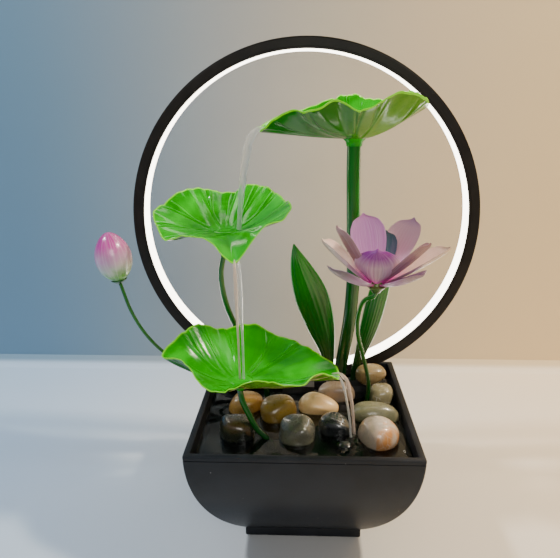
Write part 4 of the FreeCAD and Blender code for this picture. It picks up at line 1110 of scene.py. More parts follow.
# ---------------------------------------------------------------- leaves
@dataclass
class Leaf:
    """One cupped lotus leaf.

    Rim rows are (angle from +X in degrees, radius, rise) about the leaf's centre.
    """

    name: str
    body: Body
    centre: Spot
    rim: list[tuple[float, float, float]]
    seed: int
    veins: int = 11
    puff: float = 3.8
    ridge: float = 1.6
    ridge_width: float = 1.3
    hole: float = 6.6
    thick: float = 1.5
    around: int = 760
    out: int = 52

    def curve(self, column: int, at: np.ndarray) -> np.ndarray:
        """One column of the rim table as a smooth loop, read at angles in degrees.

        Args:
            column: 1 for the radius, 2 for the rise.
            at: angles in degrees.

        Returns:
            The column's value at each angle.
        """
        table = np.array(self.rim, float)
        angle = table[:, 0].copy()
        angle[1:] += 360 * np.cumsum(np.diff(angle) < 0)
        angle = np.concatenate([angle - 360, angle, angle + 360])
        return hermite(angle, np.tile(table[:, column], 3), at)

    def folds(self, angle: np.ndarray, share: np.ndarray) -> np.ndarray:
        """Height added to the plain dish.

        Veins leave the middle at uneven angles, bend as they run out and fork past half way.
        Each is a narrow ridge, exp(-(distance / width) ** 2) high, and between two veins the
        leaf swells by the sine of the way across to a power below one.

        Args:
            angle: angles in degrees, shape (columns,).
            share: shares of the way out, shape (rows,).

        Returns:
            Heights, shape (rows, columns).
        """
        chance = np.random.default_rng(self.seed)
        count = self.veins
        lines = np.sort((np.arange(count) + chance.uniform(-0.3, 0.3, count)) * 360 / count)
        tall = chance.uniform(0.4, 1.3, count + 1)
        ring = np.concatenate([lines, [lines[0] + 360]])
        bend = 9 * np.sin(np.radians(angle) * 2 + self.seed)[None, :] * share[:, None] ** 2
        turned = (angle[None, :] + bend - lines[0]) % 360 + lines[0]
        here = np.clip(np.searchsorted(ring, turned, "right") - 1, 0, count - 1)
        way = (turned - ring[here]) / (ring[here + 1] - ring[here])
        swell = np.sin(math.pi * way) ** 0.6 * tall[here]
        grow = (share ** 0.8 * (1 - 0.6 * share ** 3))[:, None]
        reach = 8 + 50 * share[:, None]
        ridge = np.zeros_like(turned)
        for line in lines:
            split = chance.uniform(6, 10) * np.clip(share - 0.5, 0, 1)[:, None]
            for hand in (-1, 1):
                gap = (turned - line + hand * split + 180) % 360 - 180
                ridge = np.maximum(ridge, np.exp(-(np.radians(gap) * reach
                                                    / self.ridge_width) ** 2))
        crest = np.clip(share / 0.25, 0, 1) * np.clip((1.02 - share) / 0.2, 0, 1)
        return self.puff * swell * grow + self.ridge * ridge * crest[:, None]

    def rings(self) -> tuple[np.ndarray, np.ndarray]:
        """The leaf's skin and its wrap: out along the top, round the rim, back below.

        A point lies at hole + (radius - hole) * share from the middle, and rises by
        rise * share ** 1.7 plus the folds; the two sides are a thickness apart.

        Returns:
            The rings and their wrap.
        """
        angle = np.linspace(self.rim[0][0], self.rim[0][0] + 360, self.around, endpoint=False)
        radius, rise = self.curve(1, angle), self.curve(2, angle)
        share = np.linspace(0, 1, self.out) ** 0.9
        lift = rise[None, :] * share[:, None] ** 1.7 + self.folds(angle, share)
        chance = np.random.default_rng(self.seed + 7)
        wave = sum(chance.uniform(0.1, 0.35) * np.sin(np.radians(angle) * k + chance.uniform(0, 6))
                   for k in (9, 14, 23, 31))
        lift = lift + wave[None, :] * share[:, None] ** 6
        reach = self.hole + (radius[None, :] - self.hole) * share[:, None]
        turn = np.radians(angle)[None, :]
        top = np.stack([reach * np.cos(turn), reach * np.sin(turn), lift], -1)
        half = self.thick / 2 * np.sqrt(1 - share ** 8 * 0.8)[:, None]
        up, down = top.copy(), top.copy()
        up[..., 2] += half
        down[..., 2] -= half
        rings = np.concatenate([up, down[::-1]]) + np.array(self.centre)
        v = np.concatenate([share, 2 - share[::-1], [2.0]])
        return rings, wrap_grid(np.linspace(0, 1, self.around + 1), v)

    def build(self, finish: Material) -> None:
        """Makes the leaf.

        Args:
            finish: the leaf's material.
        """
        rings, wrap = self.rings()
        place(skin(f"{self.name}_dish", rings, wrap, torus=True), finish, self.body,
              "leaf_green", self.name)


@dataclass
class Hub:
    """The boss under a leaf's middle; a closed one has a low dome on top."""

    node: str
    body: Body
    centre: Spot
    closed: bool = True

    def build(self, finish: Material) -> None:
        """Makes the boss, a (radius, along) outline turned about the leaf's middle.

        Args:
            finish: the material to wear.
        """
        if self.closed:
            rings = turned_solid([(0.4, 1.0), (2.5, 1.15), (5.0, 1.9), (8.0, 1.95), (10.4, 1.2),
                                  (10.6, 0.5), (8.4, -1.2), (5.6, -3.0), (4.0, -5.4), (3.6, -6.5),
                                  (1.0, -6.5)], self.centre, 64)
            hub = skin(f"{self.node}_boss", rings)
        else:
            hub = skin(f"{self.node}_boss", spun(
                [(6.05, -6.5), (6.4, -6.4), (6.7, -4.5), (7.2, -2.6), (9.0, -1.0), (9.4, 0.8),
                 (8.4, 1.8), (7.0, 2.0), (6.05, 2.0)], self.centre, 64), torus=True)
            crease(hub, 50)
        place(hub, finish, self.body, "collar_green", self.node)


TOP_RIM = [
    (186, 78, 5), (198, 76, 9), (210, 72, 15), (224, 70, 21), (238, 66, 20), (252, 62, 27),
    (268, 61, 21), (281, 61, 25), (293, 62, 33), (306, 64, 33), (320, 64, 28), (337, 58, 23),
    (358, 52, 31), (18, 48, 36), (40, 37, 30), (66, 32, 31), (90, 30, 34), (113, 32, 32),
    (136, 40, 26), (154, 53, 21), (168, 66, 16), (178, 75, 10)]
MIDDLE_RIM = [
    (186, 59, 17), (202, 57, 8), (217, 56, 0), (233, 50, 3), (250, 50, 5), (265, 51, 1),
    (275, 54, -8), (283, 56, -14), (290, 56, -8), (298, 57, 3), (306, 60, 13), (318, 64, 16),
    (332, 62, 22), (352, 54, 26), (12, 51, 24), (38, 51, 29), (56, 50, 33), (72, 47, 33),
    (88, 46, 27), (102, 45, 26), (119, 45, 31), (135, 46, 31), (152, 49, 29), (170, 54, 22)]
BOTTOM_RIM = [
    (178, 62, 22), (202, 49, 26), (222, 45, 22), (238, 45, 13), (254, 46, 11), (268, 47, 15),
    (282, 50, 21), (296, 55, 23), (308, 62, 19), (316, 67, 18), (325, 71, 24), (336, 72, 20),
    (350, 77, 10), (358, 79, 5), (6, 78, 9), (16, 70, 12), (32, 66, 14), (48, 64, 16),
    (63, 60, 18), (77, 54, 28), (92, 51, 29), (110, 49, 27), (123, 48, 29), (137, 49, 35),
    (154, 52, 34), (167, 56, 29)]


# ---------------------------------------------------------------- stems and blades
@dataclass
class Stem:
    """A stem along a smooth line from the tray up."""

    node: str
    line: list[Spot]
    radius: float
    tip: float
    slot: str = "stem_green"

    def build(self, finish: Material) -> None:
        """Makes the stem: a round rod whose radius goes from its own to the tip's.

        On the way it swells and thins by a slow cosine, and five low ribs run along it.

        Args:
            finish: the material to wear.
        """
        count = 120
        line = smooth_line(self.line, count)
        along = np.linspace(0, 1, count)
        radius = self.radius * (1 + 0.06 * np.cos(along * 9)) * (1 - along) + self.tip * along
        rings = tube_rings(line, np.minimum(radius, self.radius), 20, 1.0, 5, 0.03)
        place(skin(f"{self.node}_bar", rings), finish, Body.DECK, self.slot, self.node)


@dataclass
class Riser:
    """The hollow pipe that is the top leaf's stem."""

    radius: float = 5.8
    bore: float = 4.0
    rows: int = 150
    sides: int = 40

    def build(self, finish: Material) -> None:
        """Makes the pipe: circles up the outside of its line and back down the bore.

        Args:
            finish: the material to wear.
        """
        line = smooth_line([(34, 48, 90), (34, 48, 104), (37, 40, 134), (40.6, 31, 168),
                            (42.4, 26.6, 204), (41.1, 26, 262), (40, 26, 302), (40, 26, 331)],
                           self.rows)
        outside = tube_rings(line, self.radius, self.sides)
        inside = tube_rings(line, self.bore, self.sides)[::-1]
        wrap_v = np.concatenate([np.linspace(0, 1, self.rows), np.linspace(1, 0, self.rows + 1)])
        wrap = wrap_grid(np.linspace(0, 1, self.sides + 1), wrap_v)
        pipe = skin("riser_tube", np.concatenate([outside, inside]), wrap, torus=True)
        crease(pipe, 50)
        place(pipe, finish, Body.DECK, "riser_green", "riser_pipe")


@dataclass
class Blade:
    """A long blade leaf, folded along its middle.

    Rows are ((x, y, z) of the middle, half width) from the foot to the tip.
    """

    node: str
    rows: list[tuple[Spot, float]]
    fold: float = 0.25
    thick: float = 2.0

    def build(self, finish: Material) -> None:
        """Makes the blade.

        Across the blade, with side from -1 to 1, the surface stands back by fold * half *
        |side| ** 1.4 and is thickest in the middle; the underside returns the same way.

        Args:
            finish: the material to wear.
        """
        count = 110
        spots = np.array([row[0] for row in self.rows], float)
        half_known = np.array([row[1] for row in self.rows], float)
        run = chord_run(spots)
        at = np.linspace(0, run[-1], count)
        middle = hermite(run, spots, at)
        half = np.clip(hermite(run, half_known, at), 0.25, None)
        tangent = unit(np.gradient(middle, axis=0))
        normal = np.tile(np.array([0.0, -1.0, 0.0]), (count, 1))
        across = unit(np.cross(tangent, -normal))
        normal = np.cross(tangent, across)
        normal *= np.sign(-normal[:, 1:2])
        side = np.linspace(-1, 1, 25)
        body = np.clip(1 - np.abs(side) ** 3, 0.08, 1) * self.thick / 2
        rise = -self.fold * half[:, None] * np.abs(side) ** 1.4 + 0.25 * np.cos(side * 22)
        flat = middle[:, None, :] + (half[:, None] * side)[..., None] * across[:, None, :]
        shrink = np.clip(half / 4.0, 0.15, 1)[:, None]
        front = flat + ((rise + body) * shrink)[..., None] * normal[:, None, :]
        back = flat + ((rise - body) * shrink)[..., None] * normal[:, None, :]
        rings = np.concatenate([front, back[:, ::-1]], 1)
        place(skin(f"{self.node}_leaf", rings), finish, Body.DECK, "blade_green", self.node)


# ---------------------------------------------------------------- flower and bud
PETAL_START = 4.5


@dataclass
class Petal:
    """A petal: azimuth and lift in degrees, length and half width in millimetres."""

    azimuth: float
    lift: float
    length: float
    half: float
    cup: float = 0.36
    curl: float = 0.10
    flutes: float = 0.14
    blunt: float = 1.0

    def rings(self, centre: Spot) -> np.ndarray:
        """Closed rings from the base to the tip.

        Along the petal the width swells and closes to a small point; a blunt one stays wide
        further out. Across it the surface rises by cup * width * side ** 2, with fine flutes,
        and along it by curl * length * share ** 2. It is then tilted up by its lift, moved out
        from the axis and turned to its azimuth.

        Args:
            centre: the flower's middle.

        Returns:
            Rings of points, shape (rows, points in a ring, 3).
        """
        known = np.array([0, 0.12, 0.3, 0.5, 0.66, 0.82, 0.92, 0.965, 1.0])
        wide = np.array([0.2, 0.42, 0.74, 0.95, 1.0, 0.87, 0.55, 0.17, 0.03]) * self.blunt
        slim = np.array([0.2, 0.50, 0.90, 1.0, 0.88, 0.60, 0.32, 0.10, 0.02])
        wide = wide + slim * (1 - self.blunt)
        share = np.linspace(0, 1, 64)
        width = np.clip(hermite(known, wide, share), 0.02, None)[:, None] * self.half
        side = np.linspace(-1, 1, 41)[None, :]
        body = np.clip(1 - np.abs(side) ** 4, 0.12, 1) * 0.6
        flute = self.flutes * np.cos(side * math.pi * 11) * np.sin(math.pi * share)[:, None]
        rise = (self.cup * width * np.abs(side) ** 2 + self.curl * self.length * share[:, None] ** 2
                + flute * (1 - np.abs(side) ** 3))
        rise = rise + 1.2 * np.clip((share[:, None] - 0.93) / 0.07, 0, 1) ** 2
        x = self.length * share[:, None] + 0 * side
        top = np.stack([x, width * side, rise], -1)
        low = np.stack([x, width * side, rise - 2 * body], -1)
        rings = np.concatenate([top, low[:, ::-1]], 1)
        raised = rings @ turn_y(-self.lift).T + np.array([PETAL_START, 0, 0])
        return raised @ turn_z(self.azimuth).T + np.array(centre)


@dataclass
class Flower:
    """Open lotus flower: outer and inner petals round a small core."""

    centre: Spot = (58.5, -8.0, 213.0)
    sink: float = 0.2
    layer_step: float = 2.2

    def petals(self, name: str, petals: list[Petal], finish: Material,
               slot: str, node: str | None) -> Object:
        """One object of several petals; the inner layer stands a step higher.

        Args:
            name: the piece's name.
            petals: the petals.
            finish: the material to wear.
            slot: their material slot.
            node: the CAD node they replace, or nothing.

        Returns:
            The object.
        """
        x, y, z = self.centre
        base = (x, y, z - self.sink + (self.layer_step if slot == "petal_inner" else 0.0))
        made = [skin(f"{name}_{number}", petal.rings(base))
                for number, petal in enumerate(petals)]
        whole = joined(name, made) if len(made) > 1 else made[0]
        return place(whole, finish, Body.DECK, slot, *([node] if node else []))

    def build(self, effects: Effects) -> None:
        """Makes the petals, the core and the seed head.

        Args:
            effects: the shared effect groups.
        """
        for name, petals, finish, slot, node in PETAL_SETS:
            self.petals(name, petals, finish.material(effects), slot, node)
        green = StemFinish("flower_cup_green", (0.05, 0.12, 0.03), (0.28, 0.38, 0.10)).material(
            effects)
        x, y, z = self.centre
        cup = skin("flower_heart", turned_solid(
            [(2.4, -7.9), (3.2, -7.5), (4.4, -5.6), (6.3, -3.8), (7.8, -2.4), (7.9, -2.1),
             (7.0, -1.9), (4.4, -1.2), (4.0, 0.0), (3.6, 2.4), (3.0, 3.0), (3.1, 6.0), (3.6, 7.8),
             (3.4, 8.2), (1.5, 8.3)], (x, y, z), 36))
        crease(cup, 50)
        place(cup, green, Body.DECK, "flower_green", "flower_core")


MAGENTA = (0.75, 0.03, 0.48)
PETAL_SETS = (
    ("outer_petals_pale",
     [Petal(172, 35, 54, 14.5), Petal(0, 24, 61, 14.5, 0.34), Petal(92, 30, 43, 14)],
     PetalFinish("petal_ivory_pink", MAGENTA, (0.88, 0.60, 0.52), (0.88, 0.70, 0.52),
                 (0.66, 0.48, 0.44), (0.50, 0.34, 0.27)), "petal_outer", "outer_petals"),
    ("outer_petals_low",
     [Petal(214, 6, 45, 15, 0.30, 0.34, 0.3), Petal(320, 8, 40, 15.5, 0.26, 0.26, 0.5)],
     PetalFinish("petal_violet", MAGENTA, (0.34, 0.13, 0.42), (0.66, 0.48, 0.60),
                 (0.44, 0.22, 0.44), (0.22, 0.12, 0.18)), "petal_outer", None),
    ("inner_petal_back_left", [Petal(128, 69, 55, 19.5, 0.24)],
     PetalFinish("petal_mauve", (0.70, 0.10, 0.50), (0.44, 0.20, 0.46), (0.46, 0.18, 0.44),
                 (0.36, 0.24, 0.34)), "petal_inner", "inner_petals"),
    ("inner_petal_back_right", [Petal(30, 51, 58, 19.5, 0.24)],
     PetalFinish("petal_pink", (0.78, 0.12, 0.52), (0.80, 0.46, 0.56), (0.50, 0.26, 0.48),
                 (0.50, 0.38, 0.42)), "petal_inner", None),
    ("inner_petals_narrow",
     [Petal(190, 50, 55, 12.4, 0.46, 0.12), Petal(336, 36, 51, 12, 0.46, 0.12)],
     PetalFinish("petal_rose", MAGENTA, (0.80, 0.50, 0.54), (0.60, 0.26, 0.30),
                 (0.30, 0.17, 0.17), (0.28, 0.14, 0.14)), "petal_inner", None),
    # the back petal's slate and teal greys are painted shade, for a petal in shadow behind the
    # flower
    ("inner_petal_back", [Petal(70, 50, 44, 11.6)],
     PetalFinish("petal_back_painted_shade", (0.2, 0.2, 0.25), (0.07, 0.14, 0.19), (0.10, 0.18, 0.20),
                 (0.3, 0.3, 0.33)), "petal_inner", None),
    ("inner_petal_front", [Petal(262, 44, 34, 18.0, 0.40, 0.30, 0.35, 0.0)],
     PetalFinish("petal_front", MAGENTA, (0.26, 0.03, 0.28), (0.40, 0.03, 0.32),
                 (0.50, 0.33, 0.38), (0.24, 0.02, 0.24)), "petal_inner", None),
)


@dataclass
class Bud:
    """Closed bud on its own stem, leaning a little, with a small calyx."""

    foot: Spot = (-157.0, 5.0, 209.5)
    lean: float = -10.0
    length: float = 43.4
    radius: float = 15.4

    def build(self, effects: Effects) -> None:
        """Makes the bud and its stem.

        The bud is an egg: its radius is the sine of the way up to a power, fullest below the
        middle. Three petals spiral round it as very shallow steps.

        Args:
            effects: the shared effect groups.
        """
        rows, cols = 72, 90
        way = np.linspace(0.004, 0.996, rows)[:, None]
        turn = np.linspace(0, 2 * math.pi, cols, endpoint=False)[None, :]
        egg = np.sin(math.pi * way ** 0.96) ** 0.54
        spiral = (turn / (2 * math.pi) * 3 + way * 0.55) % 1.0
        step = np.clip(spiral / 0.2, 0, 1) * (1 - 0.5 * spiral)
        reach = self.radius * egg * (0.988 + 0.012 * step * np.sin(math.pi * way))
        height = self.length * way + 0 * turn
        local = np.stack([reach * np.cos(turn), reach * np.sin(turn), height], -1)
        tilt = turn_y(self.lean)
        rings = local @ tilt.T + np.array(self.foot)
        place(skin("bud_body", rings), BudFinish("bud_painted").material(effects), Body.DECK,
              "bud_pink", "lotus_bud")
        green = StemFinish("bud_stem_green").material(effects)
        stem = skin("bud_stem_bar", tube_rings(smooth_line(
            [(-48, 27, 80), (-48.4, 27, 84), (-60, 24, 99), (-90, 18, 120), (-119, 12, 138),
             (-138, 7, 161), (-148.5, 5, 182), (-156.6, 5, 208)], 130), 1.5, 18))
        calyx = turned_solid([(1.5, -2.0), (2.4, -1.4), (4.8, 0.3), (6.3, 1.3), (6.9, 2.2),
                              (6.6, 2.3), (4.0, 1.6), (1.0, 1.2)], (0, 0, 0), 30) @ tilt.T
        cap = skin("bud_calyx", calyx + np.array(self.foot))
        place(joined("bud_stem_and_calyx", [stem, cap]), green, Body.DECK, "stem_green",
              "bud_stem")


# ---------------------------------------------------------------- pebbles
TRAY_TOP, BASE_TOP = 83.0, 99.0
STONE_GAP = 0.05


@dataclass
class Pebble:
    """A river stone: middle, half sizes, turn about Z, and how square it is."""

    node: str
    x: float
    y: float
    sizes: Spot
    yaw: float
    finish: StoneFinish
    slot: str
    square: float
    seat: float = TRAY_TOP
    flats: int = 3
    sharp: float = 11.0
    press: float = 0.62

    def build(self, effects: Effects, seed: int) -> None:
        """Makes the stone.

        The surface is a rounded box: each direction's sine and cosine to the power square,
        pushed in and out by a few slow waves. Flats softly press back what stands past a
        plane, by press * log(1 + exp(sharp * t)) / sharp; the whole is then scaled to its
        half sizes.

        Args:
            effects: the shared effect groups.
            seed: what its random draws start from.
        """
        rows, cols = 56, 84
        tilt = np.linspace(-0.495 * math.pi, 0.495 * math.pi, rows)[:, None]
        turn = np.linspace(-math.pi, math.pi, cols, endpoint=False)[None, :]

        def power(value: np.ndarray) -> np.ndarray:
            """A value to the stone's power, sign kept."""
            return np.sign(value) * np.abs(value) ** self.square

        x = power(np.cos(tilt)) * power(np.cos(turn))
        y = power(np.cos(tilt)) * power(np.sin(turn))
        z = power(np.sin(tilt)) + 0 * turn
        chance = np.random.default_rng(seed)
        local = np.stack([x, y, z], -1)
        wave = np.zeros_like(x)
        for _ in range(5):
            way = chance.normal(size=3) * 1.4
            wave += chance.uniform(0.015, 0.035) * np.sin(local @ way + chance.uniform(0, 6.28))
        local = local * (1 + wave)[..., None]
        for _ in range(self.flats):
            way = unit(chance.normal(size=3) * np.array([1.0, 1.0, 0.7]))
            past = local @ way - chance.uniform(0.66, 0.84)
            over = np.logaddexp(0, self.sharp * past) / self.sharp
            local = local - (over * self.press)[..., None] * way
        local = local / np.abs(local).max(axis=(0, 1)) * np.array(self.sizes)
        centre = np.array([self.x, self.y, self.seat + self.sizes[2] + STONE_GAP])
        stone = skin(f"{self.node}_stone", local @ turn_z(self.yaw).T + centre)
        place(stone, self.finish.material(effects), Body.DECK, self.slot, self.node)


PEBBLES = [
    Pebble("pebble_01_pale", 59, -46, (17.5, 17.5, 14.5), 15, StoneFinish(
        "stone_orange_white", (0.70, 0.54, 0.40), (0.40, 0.34, 0.26), (0.60, 0.24, 0.05), 0.85,
        0.49, scratch=0.4, wet=0.8), "stone_pale", 0.95),
    Pebble("pebble_02_black", 26.5, -30, (14, 12.5, 12), -10, StoneFinish(
        "stone_wet_black", (0.035, 0.042, 0.040), (0.008, 0.009, 0.010), (0.05, 0.06, 0.05), 0.4,
        wet=1.0), "stone_dark", 0.84),
    Pebble("pebble_03_long", 61.5, -6.5, (21.5, 12, 11), -6, StoneFinish(
        "stone_olive_long", (0.26, 0.25, 0.14), (0.16, 0.16, 0.09), (0.34, 0.28, 0.16), 0.4,
        wet=0.5), "stone_green", 0.85),
    Pebble("pebble_04_tan", 71.5, 24.5, (11.5, 12.5, 12.5), 0, StoneFinish(
        "stone_olive_tan", (0.30, 0.26, 0.14), (0.19, 0.17, 0.09), (0.36, 0.30, 0.18), 0.4,
        scratch=0.9, wet=0.6), "stone_tan", 0.82),
    Pebble("pebble_05_ochre", 63.5, 44.5, (14, 11, 9.5), 8, StoneFinish(
        "stone_ochre_swirl", (0.40, 0.29, 0.13), (0.27, 0.18, 0.07), (0.20, 0.12, 0.05), 0.4,
        bands=55.0, wet=0.3), "stone_tan", 0.72, BASE_TOP),
    Pebble("pebble_06_cream", 13.5, 4.5, (18, 12, 12.5), 0, StoneFinish(
        "stone_cream", (0.95, 0.66, 0.31), (0.88, 0.56, 0.24), (0.95, 0.72, 0.42), 0.4,
        wet=0.35), "stone_pale", 0.92),
    Pebble("pebble_07_taupe", 31, 28, (18, 10.5, 13), 0, StoneFinish(
        "stone_taupe", (0.34, 0.24, 0.16), (0.25, 0.18, 0.12), (0.38, 0.28, 0.19), 0.4,
        wet=0.3), "stone_tan", 0.9),
    Pebble("pebble_08_yellow", -22, -9.5, (16, 15, 14), 0, StoneFinish(
        "stone_amber", (0.42, 0.26, 0.04), (0.24, 0.15, 0.03), (0.34, 0.16, 0.02), 0.6,
        wet=0.5), "stone_orange", 0.74),
    Pebble("pebble_09_orange", -51, 6, (16, 12.5, 12), 6, StoneFinish(
        "stone_rust", (0.48, 0.28, 0.06), (0.28, 0.15, 0.04), (0.50, 0.22, 0.03), 0.6,
        wet=0.4), "stone_orange", 0.78),
    Pebble("pebble_10_grey", -5, -41.5, (15, 14.5, 13.5), 0, StoneFinish(
        "stone_grey_green", (0.16, 0.16, 0.10), (0.08, 0.08, 0.06), (0.20, 0.19, 0.13), 0.5,
        scratch=0.35, wet=0.7), "stone_green", 0.8),
    Pebble("pebble_11_olive", -55.5, -40.5, (16, 15, 13), 10, StoneFinish(
        "stone_dark_olive", (0.060, 0.065, 0.028), (0.012, 0.014, 0.010), (0.14, 0.07, 0.02), 0.6,
        wet=0.6), "stone_green", 0.76),
    Pebble("pebble_12_small", 33, -53.5, (6.5, 6.5, 6), 0, StoneFinish(
        "stone_small_black", (0.03, 0.04, 0.035), (0.01, 0.012, 0.012), (0.04, 0.05, 0.04), 0.3,
        wet=1.0), "stone_dark", 0.85),
]


# ---------------------------------------------------------------- water
@dataclass
class Water:
    """The water in the bowl and the three falls between the leaves."""

    level: float = 93.0
    half: float = 83.9
    depth: float = 2.5
    splash: tuple[float, float] = (40.0, -39.0)

    def surface(self, effects: Effects) -> None:
        """The bowl's water: a thin slab whose top is waved.

        Its height is a few slow plane waves, plus rings round the splash that fade with the
        distance from it.

        Args:
            effects: the shared effect groups.
        """
        count = 180
        line = np.linspace(-self.half, self.half, count)
        x, y = np.meshgrid(line, line, indexing="ij")
        chance = np.random.default_rng(11)
        z = np.zeros_like(x)
        for _ in range(9):
            way = chance.normal(size=2) * 0.11
            z += chance.uniform(0.10, 0.30) * np.sin(way[0] * x + way[1] * y
                                                     + chance.uniform(0, 6.28))
        far = np.hypot(x - self.splash[0], y - self.splash[1])
        z += 0.8 * np.cos(far * 0.75) * np.exp(-far / 13.0)
        z += 0.22 * np.sin(far * 0.42 + x * 0.05) * np.exp(-far / 60.0)
        rows = np.stack([x, y, self.level + z], -1)
        under = np.stack([x, y, np.full_like(x, self.level - self.depth)], -1)[:, ::-1]
        pool = skin("bowl_water", np.concatenate([rows, under], 1))
        crease(pool, 60)
        # the pool's dark grey-green tint darkens all seen through it: painted shade for the dark
        # pool
        finish = WaterFinish("pool_water", (0.34, 0.40, 0.40), ripple=45.0)
        place(pool, finish.material(effects), Body.BOWL, "hose_clear")

    def fall(self, name: str, points: list[Spot], widths: list[float], flat: float,
             finish: Material) -> None:
        """One ribbon of falling water: an ellipse carried along its line.

        Its width follows the given widths, times two small sine waves for the ripple.

        Args:
            name: the piece's name.
            points: its middle line.
            widths: half widths, evenly along it.
            flat: its depth as a share of its width.
            finish: the material to wear.
        """
        count = 90
        line = smooth_line(points, count)
        width = hermite(np.linspace(0, 1, len(widths)), np.array(widths),
                        np.linspace(0, 1, count))
        along = np.linspace(0, 1, count)
        width = width * (1 + 0.06 * np.sin(along * 47) + 0.04 * np.sin(along * 91 + 1))
        place(skin(name, tube_rings(line, width, 18, flat)), finish, Body.DECK, "hose_clear")

    def build(self, effects: Effects) -> None:
        """Makes the pool and the falls.

        Args:
            effects: the shared effect groups.
        """
        self.surface(effects)
        finishes = {finish: finish.material(effects) for finish in (CLEAR_FALL, WARM_LIGHT_FALL)}
        for name, points, widths, flat, finish in FALLS:
            self.fall(name, points, widths, flat, finishes[finish])


CLEAR_FALL = WaterFinish("falling_water", (0.93, 0.93, 0.91), 0.72, 300.0, 0.0008)
# the warm tint is painted warm light caught in the falling water
WARM_LIGHT_FALL = WaterFinish("falling_water_painted_warm_light", (0.90, 0.74, 0.62), 0.55, 300.0, 0.0008)
FALLS = (
    ("fall_top", [(-30, 12.5, 334.5), (-37.5, 12, 334.8), (-43, 12, 329), (-48, 12, 312),
                  (-52, 12, 285), (-55, 12, 253.5)],
     [1.2, 3.3, 3.2, 2.8, 2.3, 1.8], 0.5, CLEAR_FALL),
    ("fall_middle_left", [(-53.5, -37, 240.5), (-52.8, -43.0, 237.5), (-52.2, -44.5, 220),
                          (-51.4, -44.5, 185), (-50.6, -44, 144)],
     [0.8, 1.5, 1.1, 0.9, 0.9], 0.7, WARM_LIGHT_FALL),
    ("fall_middle_right", [(-50.3, -37, 240.5), (-49.5, -43.0, 237.5), (-48.6, -44.5, 220),
                           (-48.0, -44.5, 185), (-47.6, -44, 144)],
     [0.8, 1.6, 1.2, 1.0, 1.0], 0.7, CLEAR_FALL),
    ("fall_low_back", [(22, -39, 147), (28.5, -39, 147.0), (33, -39, 143), (37, -39, 130),
                       (40, -39, 110), (41.5, -39, 92)],
     [0.8, 1.6, 1.5, 1.3, 1.2, 1.4], 0.6, WARM_LIGHT_FALL),
    ("fall_low_front", [(22, -41, 146), (27.6, -42, 145.6), (31, -42.5, 139), (34.5, -43, 124),
                        (37, -43, 108), (38.5, -43, 92)],
     [0.6, 1.1, 1.0, 0.9, 0.9, 1.1], 0.8, CLEAR_FALL),
)


# ---------------------------------------------------------------- what keeps its CAD shape
CAD_FINISHES = (
    (MouldedFinish("tray_black_plastic", (0.014, 0.015, 0.017), 0.45, dust=0.03),
     ("pebble_tray", "plant_base", "ring_saddle")),
    (MouldedFinish("driver_box_plastic", (0.012, 0.012, 0.013), 0.35, coat=0.2),
     ("driver_box", "driver_lid")),
    (MouldedFinish("pump_plastic", (0.022, 0.023, 0.026), 0.4, grain=700.0),
     ("pump_body", "pump_backplate", "pump_cover", "intake_grille")),
    (MouldedFinish("foam_pad", (0.03, 0.03, 0.032), 0.9, grain=500.0, depth=0.0003),
     ("foot_pad", "intake_foam")),
    (MouldedFinish("soft_rubber", (0.015, 0.015, 0.015), 0.6),
     ("cable_grommet", "suction_feet", "shaft_bushes")),
    (MouldedFinish("core_lamination", (0.30, 0.31, 0.33), 0.35, 1.0, grain=300.0),
     ("stator_core",)),
    (MouldedFinish("coil_enamel", (0.45, 0.15, 0.04), 0.25, 1.0, grain=1600.0, depth=0.00015),
     ("stator_coil",)),
    (MouldedFinish("shaft_polished", (0.65, 0.65, 0.67), 0.15, 1.0), ("impeller_shaft",)),
    (MouldedFinish("impeller_nylon", (0.62, 0.64, 0.66), 0.35, tone=0.08),
     ("impeller", "flow_dial")),
    (MouldedFinish("ferrite", (0.035, 0.034, 0.036), 0.5, 0.4, 1500.0), ("rotor_magnet",)),
    (MouldedFinish("board_green", (0.02, 0.17, 0.05), 0.3, coat=0.4), ("driver_board",)),
    (MouldedFinish("strip_white", (0.7, 0.7, 0.66), 0.4), ("light_strip",)),
    (MouldedFinish("chip_phosphor", (0.75, 0.60, 0.15), 0.3), ("light_chips",)),
    (MouldedFinish("hose_silicone", (0.42, 0.46, 0.46), 0.3, tone=0.1), ("feed_hose",)),
)


@dataclass
class Machinery:
    """Pieces whose CAD shape stays: they only get their finishes."""

    finishes: tuple[tuple[MouldedFinish, tuple[str, ...]], ...] = CAD_FINISHES

    def build(self, effects: Effects) -> None:
        """Dresses every CAD node that shows its own shape.

        Args:
            effects: the shared effect groups.
        """
        for finish, nodes in self.finishes:
            material = finish.material(effects)
            for node in nodes:
                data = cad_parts[node].data
                data.materials.clear()
                data.materials.append(material)
                LOG.info("%s keeps its CAD shape, %s", node, finish.name)


